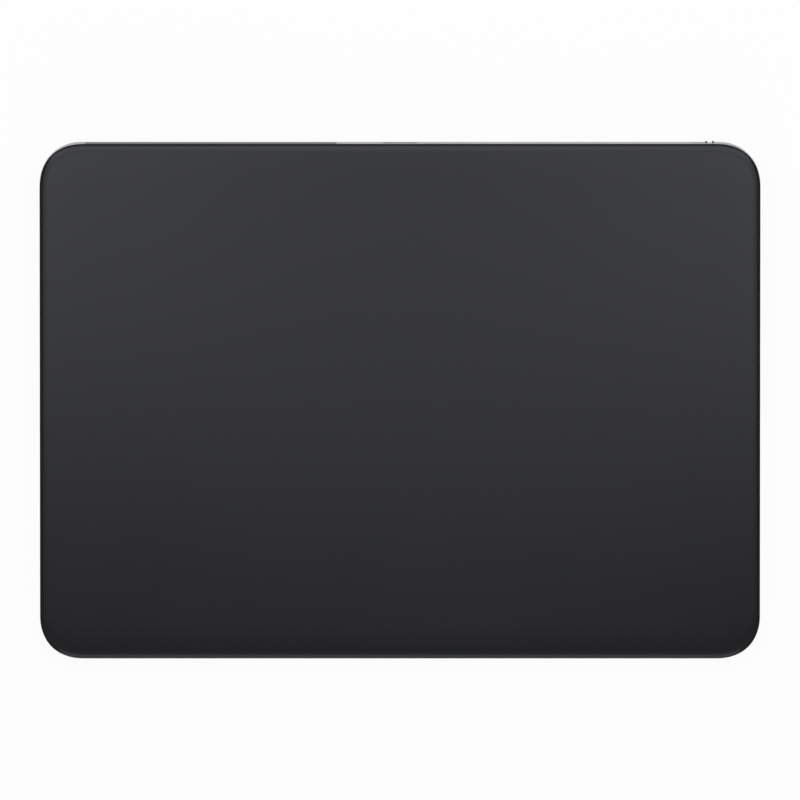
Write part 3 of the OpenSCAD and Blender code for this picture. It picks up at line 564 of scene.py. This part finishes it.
# %% [markdown]
# ## Windings, tapes and the cell
# The windings are enamelled copper wire, the tapes are black foam with tiny cells, the coaxial lead has a
# smooth dark jacket, and the gel is clear and soft. The battery is wrapped in satin black film over foil,
# whose faint creases are a coarse stretched noise in the relief.

# %% Finishes of the wound and soft pieces
def creased_wrap():
    finish, shader, place = start_finish("creased_battery_wrap")
    crease = grain(finish, stretched(finish, place, (0.5, 1, 1)), 4 * MM, detail=4)
    fine = grain(finish, place, 0.2 * MM)
    wire(finish, shader, {
        "Base Color": tones(finish, crease, (0.036, 0.037, 0.040), (0.052, 0.053, 0.057)),
        "Metallic": 0.35,
        "Roughness": spread(finish, fine, 0.32, 0.44),
        "Normal": relief(finish, crease, 0.05 * MM, 0.6),
    })
    return finish


battery_wrap = creased_wrap()
winding_copper = grained_finish(
    "enamelled_copper", (0.44, 0.145, 0.05), (0.56, 0.21, 0.08), 0.6 * MM,
    (0.22, 0.34), 0.08 * MM, 0.002 * MM, Metallic=1.0, Coat_Weight=0.5, Coat_Roughness=0.12)
lead_jacket = grained_finish(
    "dark_lead_jacket", (0.045, 0.045, 0.047), (0.065, 0.065, 0.067), 1 * MM,
    (0.36, 0.48), 0.08 * MM, 0.003 * MM)
soft_gel = grained_finish(
    "clear_soft_gel", (0.62, 0.70, 0.74), (0.70, 0.77, 0.80), 1.5 * MM,
    (0.18, 0.30), 0.3 * MM, 0.004 * MM, Transmission_Weight=0.55, IOR=1.41)
foam_tape = grained_finish(
    "black_foam_tape", (0.018, 0.018, 0.019), (0.032, 0.032, 0.034), 0.8 * MM,
    (0.72, 0.9), 0.11 * MM, 0.012 * MM)
print("made the finishes of windings, tapes and the cell")

# %% [markdown]
# ## Dress the solids
# A solid whose shape is already right keeps its mesh and only gets its finish. One table says which
# finish goes on which solids.

# %% Finishes on the solids
CORNERS = ("front_left", "front_right", "rear_left", "rear_right")
dressed = [
    (aluminium, ["housing", "bottom_cover"]),
    (aluminium_with_painted_rib_shade, ["power_slider"]),
    (window_plastic, ["antenna_window"]),
    (black_glass, ["touch_glass"]),
    (black_nylon, ["port_insulator", "switch_actuator"]),
    (socket_plastic, ["board_sockets"]),
    (foot_rubber, ["foot_" + corner for corner in CORNERS]),
    (rolled_steel, ["force_beam_" + corner for corner in CORNERS]),
    (rolled_steel, ["stiffener", "board_shield", "switch_case"]),
    (port_steel_painted_shade, ["port_shell"]),
    (rolled_steel, ["beam_spacers", "haptic_bracket"]),
    (plated_screw_steel, ["main_board_screws", "port_screws", "switch_screws"]),
    (plated_screw_steel, ["haptic_screws", "beam_screws", "armature_screws"]),
    (stacked_core_steel, ["haptic_core", "haptic_armature"]),
    (contact_gold, ["port_contacts"]),
    (board_lacquer, ["main_board", "port_board", "switch_board", "battery_guard_board", "sensor_board"]),
    (chip_epoxy, ["processor", "radio_chip", "power_chip", "touch_controller"]),
    (flat_cable_film, ["battery_lead", "port_flex", "switch_flex", "haptic_lead", "sensor_flex"]),
    (flat_cable_film, ["antenna", "strain_gauges"]),
    (winding_copper, ["haptic_coils"]),
    (lead_jacket, ["antenna_coax"]),
    (soft_gel, ["gel_pads"]),
    (foam_tape, ["cover_tape", "battery_tape"]),
    (battery_wrap, ["battery_cell"]),
]
for finish, names in dressed:
    for name in names:
        nodes[name].material_slots[0].material = finish
print("dressed", sum(len(names) for _, names in dressed), "of", len(nodes), "solids")

# %% [markdown]
# ## Making a piece
# A new piece starts as a bmesh. When its shape is done its faces are turned outwards, soft edges are
# shaded smooth and hard ones stay crisp. Then it is tied to the moving body it belongs to; a piece given
# two bodies stays where it is in the world. The solids it stands for are hidden.

# %% Piece helper
CRISP = math.radians(35)


def make_piece(mesh, name, finish, body, stands_for):
    """Turns a bmesh into a piece on one body; given two bodies, it stays where it is in the world."""
    bmesh.ops.recalc_face_normals(mesh, faces=mesh.faces)
    for face in mesh.faces:
        face.smooth = True
    for edge in mesh.edges:
        edge.smooth = edge.calc_face_angle(0) < CRISP
    data = bpy.data.meshes.new(name)
    mesh.to_mesh(data)
    mesh.free()
    data.materials.append(finish)
    piece = bpy.data.objects.new(name, data)
    bpy.context.scene.collection.objects.link(piece)
    if isinstance(body, str):
        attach(piece, body)
    else:
        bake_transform(piece)
    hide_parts(*stands_for)
    print(name, "has", len(data.polygons), "faces")
    return piece


print("piece helper ready")

# %% [markdown]
# ## The slope of the pad
# The whole touch plate leans forward by about three degrees. Pieces of the plate are easiest to model
# lying flat and then leaned as one. The press joint moves straight through the plate, so its direction
# gives the slope exactly.

# %% Slope
press = next(joint for joint in frame["joints"] if joint["name"] == "plate_press")
down = Vector(press["axis"])
slope = math.atan2(down.y, -down.z)
lean = Matrix.Rotation(slope, 4, "X")


def flat_box(node):
    """A solid's lowest and highest corners after the slope is taken out."""
    return span([lean.inverted() @ vertex.co for vertex in nodes[node].data.vertices])


print("slope in degrees:", round(math.degrees(slope), 3))

# %% [markdown]
# ## Rounding
# Nothing that is moulded, folded or ground has a knife-sharp edge, and it is the rounded edges that catch
# the light. Blender's bevel does this: a profile of 0.5 gives a plain arc, and a higher one a fuller
# corner. The helpers below round chosen edges and find the faces and edges to choose from.

# %% Rounding helpers
def round_edges(mesh, edges, reach, steps, profile=0.5):
    bmesh.ops.bevel(
        mesh, geom=edges, offset=reach, affect="EDGES", segments=steps, profile=profile, material=-1)


def lowest_face(mesh):
    return min(mesh.faces, key=lambda face: face.calc_center_median().z)


def highest_face(mesh):
    return max(mesh.faces, key=lambda face: face.calc_center_median().z)


def upright(edges):
    return [edge for edge in edges if abs(edge.verts[0].co.z - edge.verts[1].co.z) > MM / 10]


print("rounding helpers ready")

# %% [markdown]
# ## The edge of the glass
# A ground pane doesn't go straight from flat to side. A long crown leaves the flat without a kink and
# slowly gets steeper, and the last two to three millimetres roll over in a soft curve. The two slopes are
# added up here in small steps from the side inwards. The steps are shortest at the side, where the curve
# is tightest.

# %% Glass edge
ROLL_WIDTH = 2.6 * MM
ROLL_ANGLE = math.radians(34)
ROLL_FADE = 2.2
CROWN_WIDTH = 7.2 * MM
CROWN_ANGLE = math.radians(2.8)
EDGE_STEPS = 26
STEP_GROWTH = 1.6


def edge_step(outer, inner):
    """Width and rise of one step of the edge."""
    middle = (outer + inner) / 2
    angle = CROWN_ANGLE * (1 - middle / CROWN_WIDTH)
    if middle < ROLL_WIDTH:
        angle += ROLL_ANGLE * (1 - middle / ROLL_WIDTH) ** ROLL_FADE
    return inner - outer, (inner - outer) * math.tan(angle)


edge_places = [CROWN_WIDTH * (step / EDGE_STEPS) ** STEP_GROWTH for step in range(EDGE_STEPS + 1)]
edge_steps = [edge_step(*pair) for pair in zip(edge_places, edge_places[1:])]
edge_drop = sum(rise for _, rise in edge_steps)
print("the edge drops", round(edge_drop / MM, 3), "mm")

# %% [markdown]
# ## The pane of glass
# Seen from above, the corners of the pane are a little fuller than plain arcs: they start bending early
# and turn harder in the middle. The outline comes from bevelling the upright edges of a block, and the
# rolled edge from a row of insets, one for each step. A grid of cuts then splits the large flat face into
# even ones, and at last the pane is leaned.

# %% Glass pane
CORNER_REACH = 10.33 * MM
CORNER_FULLNESS = 0.561
CORNER_STEPS = 28
UNDERCUT = 0.08 * MM
GRID = 10 * MM


def cut_in_grid(mesh, size):
    for axis in (0, 1):
        normal = Vector((0, 0, 0))
        normal[axis] = 1
        cuts = int(size[axis] / 2 / GRID)
        for cut in range(-cuts, cuts + 1):
            geometry = mesh.verts[:] + mesh.edges[:] + mesh.faces[:]
            bmesh.ops.bisect_plane(mesh, geom=geometry, plane_co=normal * cut * GRID, plane_no=normal)


def glass_pane():
    low, high = flat_box("touch_glass")
    size = high - low
    side = size.z - edge_drop
    mesh = bmesh.new()
    bmesh.ops.create_cube(mesh, size=1)
    bmesh.ops.scale(mesh, vec=(size.x, size.y, side), verts=mesh.verts)
    round_edges(mesh, upright(mesh.edges), CORNER_REACH, CORNER_STEPS, CORNER_FULLNESS)
    round_edges(mesh, lowest_face(mesh).edges[:], UNDERCUT, 2)
    top = highest_face(mesh)
    for width, rise in edge_steps:
        bmesh.ops.inset_region(mesh, faces=[top], thickness=width, depth=rise, use_even_offset=True)
    cut_in_grid(mesh, size)
    centre = (low + high) / 2
    centre.z = low.z + side / 2
    bmesh.ops.translate(mesh, vec=centre, verts=mesh.verts)
    bmesh.ops.transform(mesh, matrix=lean, verts=mesh.verts)
    make_piece(mesh, "glass_pane", black_glass, "touch_plate", ["touch_glass"])


glass_pane()

# %% [markdown]
# ## Rubber feet
# Four round feet lift the pad off the desk. A moulded foot has a rounded rim, a flat ring that touches
# the desk and a shallow dish inside it, which makes the ring grip. A disc, one bevel and two insets are
# enough, and the ring stays exactly at desk height.

# %% Feet
FOOT_ROUNDING = 0.4 * MM
FOOT_RING = 1.1 * MM
DISH_WIDTH = 0.5 * MM
DISH_DEPTH = 0.12 * MM


def rubber_foot(corner):
    low, high = node_box("foot_" + corner)
    radius = (high.x - low.x) / 2
    mesh = bmesh.new()
    bmesh.ops.create_cone(
        mesh, cap_ends=True, segments=72, radius1=radius, radius2=radius, depth=high.z - low.z,
        matrix=Matrix.Translation((low + high) / 2))
    round_edges(mesh, lowest_face(mesh).edges[:], FOOT_ROUNDING, 5)
    contact = lowest_face(mesh)
    bmesh.ops.inset_region(mesh, faces=[contact], thickness=FOOT_RING)
    bmesh.ops.inset_region(mesh, faces=[contact], thickness=DISH_WIDTH, depth=-DISH_DEPTH)
    make_piece(mesh, "rubber_foot_" + corner, foot_rubber, "housing", ["foot_" + corner])


for corner in CORNERS:
    rubber_foot(corner)

# %% [markdown]
# ## Flat cables
# A flat cable is cut from one sheet of film: it runs straight, turns corners in its own plane and folds
# over edges. A strip that grows from its front edge can do the same three things: an extrusion makes it
# longer, and a spin about an axis beside it or above it makes a turn or a fold. Thickness comes last.

# %% Ribbon
CABLE_THICK = 0.15 * MM
TRACK_PITCH = 0.8 * MM


class Ribbon:
    """A flat strip that grows ahead from its front edge."""

    def __init__(self, start, ahead, up, width, first=0.5 * MM):
        self.mesh = bmesh.new()
        self.ahead = Vector(ahead)
        self.up = Vector(up)
        right = self.ahead.cross(self.up)
        turn = Matrix((right * width, self.ahead * first, self.up)).transposed().to_4x4()
        middle = Vector(start) + self.ahead * first / 2
        bmesh.ops.create_grid(
            self.mesh, x_segments=1, y_segments=1, size=0.5, matrix=Matrix.Translation(middle) @ turn)
        across = self.mesh.verts.layers.float.new("across")
        for vertex in self.mesh.verts:
            on_right = (vertex.co - middle).dot(right) > 0
            vertex[across] = width / TRACK_PITCH if on_right else 0
        self.place = Vector(start) + self.ahead * first
        self.front = [max(self.mesh.edges, key=lambda edge: sum(v.co.dot(self.ahead) for v in edge.verts))]

    def go(self, length, steps=1):
        """Straight ahead."""
        for _ in range(steps):
            grown = bmesh.ops.extrude_edge_only(self.mesh, edges=self.front)["geom"]
            points = [item for item in grown if isinstance(item, bmesh.types.BMVert)]
            bmesh.ops.translate(self.mesh, vec=self.ahead * length / steps, verts=points)
            self.front = [item for item in grown if isinstance(item, bmesh.types.BMEdge)]
        self.place = self.place + self.ahead * length
        return self

    def go_to(self, place, short=0):
        """Straight ahead until level with a place, or short of it."""
        return self.go((place - self.place).dot(self.ahead) - short)

    def turn(self, angle, radius):
        """Left for a positive angle, in the plane of the strip."""
        left = self.up.cross(self.ahead)
        return self.swing(self.place + left * math.copysign(radius, angle), self.up, angle)

    def fold(self, angle, radius):
        """Upwards for a positive angle."""
        right = self.ahead.cross(self.up)
        return self.swing(self.place + self.up * math.copysign(radius, angle), right, angle)

    def swing(self, centre, axis, angle):
        """Spins the front edge about an axis."""
        steps = max(3, round(math.degrees(abs(angle)) / 9))
        last = bmesh.ops.spin(
            self.mesh, geom=self.front, cent=centre, axis=axis, angle=angle, steps=steps)["geom_last"]
        self.front = [item for item in last if isinstance(item, bmesh.types.BMEdge)]
        rotation = Matrix.Rotation(angle, 3, axis)
        self.place = centre + rotation @ (self.place - centre)
        self.ahead = rotation @ self.ahead
        self.up = rotation @ self.up
        return self

    def piece(self, name, body, node):
        bmesh.ops.solidify(self.mesh, geom=self.mesh.faces[:], thickness=CABLE_THICK)
        return make_piece(self.mesh, name, flat_cable_film, body, [node])


print("ribbon ready")

# %% [markdown]
# ## Cables to the port and the switch
# One cable runs from the main board to the small board of the port, and one from there to the board of
# the switch. Each lies on a board at both ends, crosses the gap between them and turns one corner. The box
# round the measured solid gives the start, the corner and the end.

# %% Cables to the port and the switch
QUARTER = math.radians(90)
UPWARD = Vector((0, 0, 1))
REARWARD = Vector((0, 1, 0))
RIGHTWARD = Vector((1, 0, 0))
PORT_WIDTH = 4 * MM
PORT_BEND = 2.8 * MM
SWITCH_WIDTH = 2.5 * MM
SWITCH_BEND = 1.65 * MM

low, high = node_box("port_flex")
port_cable = Ribbon((low.x + PORT_WIDTH / 2, low.y, high.z), REARWARD, UPWARD, PORT_WIDTH)
port_cable.go_to(high, PORT_WIDTH / 2 + PORT_BEND).turn(-QUARTER, PORT_BEND).go_to(high)
port_cable.piece("port_cable", "housing", "port_flex")

low, high = node_box("switch_flex")
switch_cable = Ribbon((low.x, low.y + SWITCH_WIDTH / 2, high.z), RIGHTWARD, UPWARD, SWITCH_WIDTH)
switch_cable.go_to(high, SWITCH_WIDTH / 2 + SWITCH_BEND).turn(QUARTER, SWITCH_BEND).go_to(high)
switch_cable.piece("switch_cable", "housing", "switch_flex")

# %% [markdown]
# ## Lead of the battery
# The battery's lead has a little slack, which stands up as a low wave in its middle: a fold up, twice as
# much down and up again. The four arcs of the wave give its length.

# %% Lead of the battery
SLACK_ANGLE = math.radians(8)
SLACK_BEND = 10 * MM

low, high = node_box("battery_lead")
middle = (low + high) / 2
battery_cable = Ribbon((low.x, middle.y, high.z), RIGHTWARD, UPWARD, high.y - low.y)
battery_cable.go_to(middle, 2 * SLACK_BEND * math.sin(SLACK_ANGLE))
for angle in (SLACK_ANGLE, -2 * SLACK_ANGLE, SLACK_ANGLE):
    battery_cable.fold(angle, SLACK_BEND)
battery_cable.go_to(high)
battery_cable.piece("battery_cable", "housing", "battery_lead")

# %% [markdown]
# ## Lead of the haptic drive
# This lead turns a corner and then steps down onto the drive's bracket, with a fold down, a short slope
# and a fold back to level. The slope takes up what the two folds leave of the drop.

# %% Lead of the haptic drive
HAPTIC_WIDTH = 3 * MM
HAPTIC_BEND = 2.3 * MM
STEP_LEAD = 3.6 * MM
STEP_ANGLE = math.radians(60)
STEP_BEND = 0.5 * MM

low, high = node_box("haptic_lead")
drop = high.z - low.z - CABLE_THICK
step_slope = (drop - 2 * STEP_BEND * (1 - math.cos(STEP_ANGLE))) / math.sin(STEP_ANGLE)
bracket_edge = node_box("haptic_bracket")[0]
haptic_cable = Ribbon((low.x + HAPTIC_WIDTH / 2, high.y, high.z), -REARWARD, UPWARD, HAPTIC_WIDTH)
haptic_cable.go_to(low, HAPTIC_WIDTH / 2 + HAPTIC_BEND).turn(QUARTER, HAPTIC_BEND)
haptic_cable.go_to(bracket_edge, STEP_LEAD)
haptic_cable.fold(-STEP_ANGLE, STEP_BEND).go(step_slope).fold(STEP_ANGLE, STEP_BEND).go_to(high)
haptic_cable.piece("haptic_cable", "housing", "haptic_lead")

# %% [markdown]
# ## The cable to the touch plate
# This cable joins the fixed board to the plate, which taps sideways and presses down. Two joints lie
# between them, and a piece can only bend across one. Two joints lie between them, so the cable is two
# strips that meet half way up: the lower one is given the bodies of the tap, the upper one those of the
# press.

# %% Cable to the plate
PLATE_CABLE_BEND = 0.7 * MM
CABLE_FOOT = 2.8 * MM
SPLIT_HEIGHT = 5.595 * MM
CABLE_RISE = 0.945 * MM
CABLE_LAP = 5.394 * MM

low, high = node_box("sensor_flex")
foot_start = ((low.x + high.x) / 2, low.y, low.z + CABLE_THICK)
lower_cable = Ribbon(foot_start, REARWARD, UPWARD, high.x - low.x)
lower_cable.go(CABLE_FOOT).fold(QUARTER, PLATE_CABLE_BEND)
fold_end = lower_cable.place.copy()
lower_cable.go(SPLIT_HEIGHT - fold_end.z, steps=4)
split = lower_cable.place.copy()
lower_cable.piece("plate_cable_lower", ("housing", "force_sensors", fold_end, split), "sensor_flex")

upper_cable = Ribbon(split, UPWARD, -REARWARD, high.x - low.x, first=0.2 * MM)
upper_cable.go(CABLE_RISE, steps=3)
rise_end = upper_cable.place.copy()
upper_cable.fold(slope - QUARTER, PLATE_CABLE_BEND).go(CABLE_LAP)
upper_cable.piece("plate_cable_upper", ("force_sensors", "touch_plate", split, rise_end), "sensor_flex")

# %% [markdown]
# ## Gel pads
# The plate and its force beams float on four soft gel pads, which let the haptic drive tap the plate
# sideways. A cast pad has rounded corners and edges that bulge a little. The lower face is stuck to the
# housing and the upper face to a beam, so each pad shears between the two.

# %% Gel pads
PAD_SIZE = (8 * MM, 6.5 * MM)
PAD_CORNER = 1.2 * MM
PAD_BULGE = 0.12 * MM


def block(mesh, low, high):
    """Adds a box between two corners and gives its edges."""
    place = Matrix.LocRotScale((low + high) / 2, None, high - low)
    points = bmesh.ops.create_cube(mesh, size=1, matrix=place)["verts"]
    return list({edge for point in points for edge in point.link_edges})


def gel_pads():
    low, high = flat_box("gel_pads")
    mesh = bmesh.new()
    for x in (low.x, high.x - PAD_SIZE[0]):
        for y in (low.y, high.y - PAD_SIZE[1]):
            corner = Vector((x, y, low.z))
            edges = block(mesh, corner, corner + Vector((*PAD_SIZE, high.z - low.z)))
            round_edges(mesh, upright(edges), PAD_CORNER, 6)
    ends = [face for face in mesh.faces if abs(face.normal.z) > 0.9]
    round_edges(mesh, list({edge for face in ends for edge in face.edges}), PAD_BULGE, 4)
    bmesh.ops.transform(mesh, matrix=lean, verts=mesh.verts)
    bottom = lean @ Vector((0, 0, low.z))
    top = lean @ Vector((0, 0, high.z))
    body = ("housing", "force_sensors", bottom, top)
    return make_piece(mesh, "soft_gel_pads", soft_gel, body, ["gel_pads"])


gel_pads()

# %% [markdown]
# ## Spring beams
# Pressing the plate bends four flat steel springs, and small gauges under their necks feel how far. The
# solids already have the right shape, so each is copied, welded, cut to one side of the pad and sliced
# across its neck. The neck's two ends are passed along with the bodies, and the piece stays where it is.

# %% Spring beams
BEAM_END = 9 * MM
BEAM_EYE = 7 * MM
NECK_SLICES = 12


def bending_copy(node, side):
    """A welded copy of the parts of a solid on one side of the pad, and the two ends of the bend."""
    low, high = node_box("force_beam_front_right")
    neck_start = Vector((side * (high.x - BEAM_END), 0, 0))
    neck_end = Vector((side * (low.x + BEAM_EYE), 0, 0))
    mesh = bmesh.new()
    mesh.from_mesh(nodes[node].data)
    bmesh.ops.remove_doubles(mesh, verts=mesh.verts, dist=MM / 1000)
    others = [vertex for vertex in mesh.verts if vertex.co.x * side < 0]
    bmesh.ops.delete(mesh, geom=others, context="VERTS")
    for cut in range(NECK_SLICES + 1):
        place = neck_start.lerp(neck_end, cut / NECK_SLICES)
        geometry = mesh.verts[:] + mesh.edges[:] + mesh.faces[:]
        bmesh.ops.bisect_plane(mesh, geom=geometry, plane_co=place, plane_no=(1, 0, 0), dist=MM / 1000)
    return mesh, ("force_sensors", "touch_plate", neck_start, neck_end)


for side, name in ((-1, "left"), (1, "right")):
    for end in ("front", "rear"):
        corner = end + "_" + name
        mesh, bend = bending_copy("force_beam_" + corner, side)
        beam_name = "spring_beam_" + corner
        make_piece(mesh, beam_name, rolled_steel, bend, ["force_beam_" + corner])
    mesh, bend = bending_copy("strain_gauges", side)
    make_piece(mesh, "gauges_" + name, flat_cable_film, bend, ["strain_gauges"])

# %% [markdown]
# ## Round wire
# Coils and leads are round wire. The easy way to one is a curve through a row of points, with a round
# bevel as the wire. The curve is then turned into a mesh, since every piece here is one.

# %% Wire helper
def wire_mesh(lines, thickness, roundness):
    """A round wire along each row of points, all in one mesh."""
    curve = bpy.data.curves.new("wire", "CURVE")
    curve.dimensions = "3D"
    curve.bevel_depth = thickness / 2
    curve.bevel_resolution = roundness
    curve.use_fill_caps = True
    for line in lines:
        spline = curve.splines.new("POLY")
        spline.points.add(len(line) - 1)
        for point, place in zip(spline.points, line):
            point.co = (*place, 1)
    holder = bpy.data.objects.new("wire", curve)
    drawn = bpy.data.meshes.new_from_object(holder)
    mesh = bmesh.new()
    mesh.from_mesh(drawn)
    bpy.data.objects.remove(holder)
    bpy.data.curves.remove(curve)
    bpy.data.meshes.remove(drawn)
    return mesh


print("wire helper ready")

# %% [markdown]
# ## Windings
# Each pole of the haptic drive carries a coil of enamelled wire. A winding is one wire that runs round
# and round while it creeps along the pole, so points on a rounded rectangle that moves along a little
# with each of them give every turn.

# %% Windings
WIRE = 0.32 * MM
TURNS = 15
TURN_POINTS = 28
SQUARENESS = 2 / 2.6
COIL_COUNT = 4
COIL_DEPTH = 4.6 * MM


def rounded(value):
    """A sine or cosine, pushed out so that the circle turns into a rounded rectangle."""
    return math.copysign(abs(value) ** SQUARENESS, value)


def coil_line(low, high):
    """The points of one coil that fills a box, with its axis along X."""
    middle = (low + high) / 2
    reach = (high - low - Vector((WIRE, WIRE, WIRE))) / 2
    line = []
    for step in range(TURNS * TURN_POINTS + 1):
        angle = 2 * math.pi * step / TURN_POINTS
        along = 2 * step / (TURNS * TURN_POINTS) - 1
        around = Vector((along, rounded(math.cos(angle)), rounded(math.sin(angle))))
        line.append(middle + around * reach)
    return line


coils_low, coils_high = node_box("haptic_coils")
coil_pitch = (coils_high.y - coils_low.y - COIL_DEPTH) / (COIL_COUNT - 1)
coil_lines = []
for coil in range(COIL_COUNT):
    coil_low = coils_low + Vector((0, coil * coil_pitch, 0))
    coil_high = Vector((coils_high.x, coil_low.y + COIL_DEPTH, coils_high.z))
    coil_lines.append(coil_line(coil_low, coil_high))
coil_mesh = wire_mesh(coil_lines, WIRE, roundness=2)
make_piece(coil_mesh, "wound_coils", winding_copper, "housing", ["haptic_coils"])

# %% [markdown]
# ## Antenna lead
# A thin coaxial lead joins the radio's board to the antenna behind the window. It is cut a little too long
# and lies in a slack bend, first to one side and then to the other. It leaves straight at both ends.

# %% Antenna lead
LEAD_THICK = 1 * MM
LEAD_SLACK = 0.5 * MM
LEAD_POINTS = 32
PLUG_WIDTH = 2.6 * MM

lead_low, lead_high = node_box("antenna_coax")
plug_middle = (lead_low + lead_high) / 2
plug_middle.y = lead_low.y + PLUG_WIDTH / 2
lead_start = plug_middle + Vector((0, PLUG_WIDTH / 2, 0))
lead_end = Vector((plug_middle.x, lead_high.y, plug_middle.z))
lead_line = []
for step in range(LEAD_POINTS + 1):
    along = step / LEAD_POINTS
    slack = LEAD_SLACK * math.sin(2 * math.pi * along) * math.sin(math.pi * along)
    lead_line.append(lead_start.lerp(lead_end, along) + Vector((slack, 0, 0)))
lead_mesh = wire_mesh([lead_line], LEAD_THICK, roundness=4)
make_piece(lead_mesh, "antenna_lead", lead_jacket, "housing", ["antenna_coax"])

# %% [markdown]
# ## Antenna plug
# On the board the lead ends in a round snap-on plug with a crimped sleeve: a disc with a rounded rim and a
# dimple, and a short tube round the lead. Both are cylinders, and the tube is one that lies down.

# %% Antenna plug
PLUG_ROUNDING = 0.25 * MM
DIMPLE_RIM = 0.45 * MM
DIMPLE_SLOPE = 0.1 * MM
DIMPLE_DEPTH = 0.15 * MM
SLEEVE_WIDTH = 1.2 * MM
SLEEVE_LENGTH = 2.2 * MM
SLEEVE_OVERLAP = 0.3 * MM
SLEEVE_ROUNDING = 0.08 * MM


def antenna_plug():
    mesh = bmesh.new()
    bmesh.ops.create_cone(
        mesh, cap_ends=True, segments=48, radius1=PLUG_WIDTH / 2, radius2=PLUG_WIDTH / 2,
        depth=lead_high.z - lead_low.z, matrix=Matrix.Translation(plug_middle))
    round_edges(mesh, highest_face(mesh).edges[:], PLUG_ROUNDING, 4)
    top = highest_face(mesh)
    bmesh.ops.inset_region(mesh, faces=[top], thickness=DIMPLE_RIM)
    bmesh.ops.inset_region(mesh, faces=[top], thickness=DIMPLE_SLOPE, depth=-DIMPLE_DEPTH)
    reach = (PLUG_WIDTH + SLEEVE_LENGTH) / 2 - SLEEVE_OVERLAP
    lying = Matrix.Translation(plug_middle + Vector((0, reach, 0))) @ Matrix.Rotation(QUARTER, 4, "X")
    sleeve = bmesh.ops.create_cone(
        mesh, cap_ends=True, segments=24, radius1=SLEEVE_WIDTH / 2, radius2=SLEEVE_WIDTH / 2,
        depth=SLEEVE_LENGTH, matrix=lying)
    rims = {edge for point in sleeve["verts"] for edge in point.link_edges}
    round_edges(mesh, [edge for edge in rims if edge.calc_face_angle(0) > CRISP], SLEEVE_ROUNDING, 2)
    make_piece(mesh, "antenna_plug", contact_gold, "housing", ["antenna_coax"])


antenna_plug()

# %% [markdown]
# ## Battery pouch
# A flat lithium cell is a folded foil bag: the body has soft rounded edges and a slightly crowned top,
# the long seams are folded up against the sides, and the seam at the end with the terminals sticks out as
# a thin terrace. Each of those is a rounded block, and insets raise the crown.

# %% Battery pouch
TERRACE_REACH = 4.2 * MM
TERRACE_HEIGHT = (1.7 * MM, 2.0 * MM)
TERRACE_OVERLAP = 0.5 * MM
SEAM_THICK = 0.18 * MM
SEAM_HEIGHT = (0.9 * MM, 2.8 * MM)
SEAM_END = 1 * MM
POUCH_ROUNDING = 0.8 * MM
POUCH_CROWN = ((2.5 * MM, 0.08 * MM), (3.5 * MM, 0.05 * MM), (5 * MM, 0.03 * MM))


def battery_pouch():
    low, high = node_box("battery_cell")
    crown = sum(rise for _, rise in POUCH_CROWN)
    mesh = bmesh.new()
    body_low = low + Vector((TERRACE_REACH, SEAM_THICK, 0))
    body_high = high - Vector((0, SEAM_THICK, crown))
    round_edges(mesh, block(mesh, body_low, body_high), POUCH_ROUNDING, 5)
    top = highest_face(mesh)
    for width, rise in POUCH_CROWN:
        bmesh.ops.inset_region(mesh, faces=[top], thickness=width, depth=rise, use_even_offset=True)
    terrace = (
        Vector((low.x, low.y + SEAM_END, low.z + TERRACE_HEIGHT[0])),
        Vector((body_low.x + TERRACE_OVERLAP, high.y - SEAM_END, low.z + TERRACE_HEIGHT[1])),
    )
    seams = [terrace]
    for y in (low.y, high.y - 2 * SEAM_THICK):
        seams.append((
            Vector((body_low.x + SEAM_END, y, low.z + SEAM_HEIGHT[0])),
            Vector((high.x - SEAM_END, y + 2 * SEAM_THICK, low.z + SEAM_HEIGHT[1])),
        ))
    for seam in seams:
        round_edges(mesh, block(mesh, *seam), SEAM_THICK / 3, 2)
    make_piece(mesh, "battery_pouch", battery_wrap, "housing", ["battery_cell"])


battery_pouch()
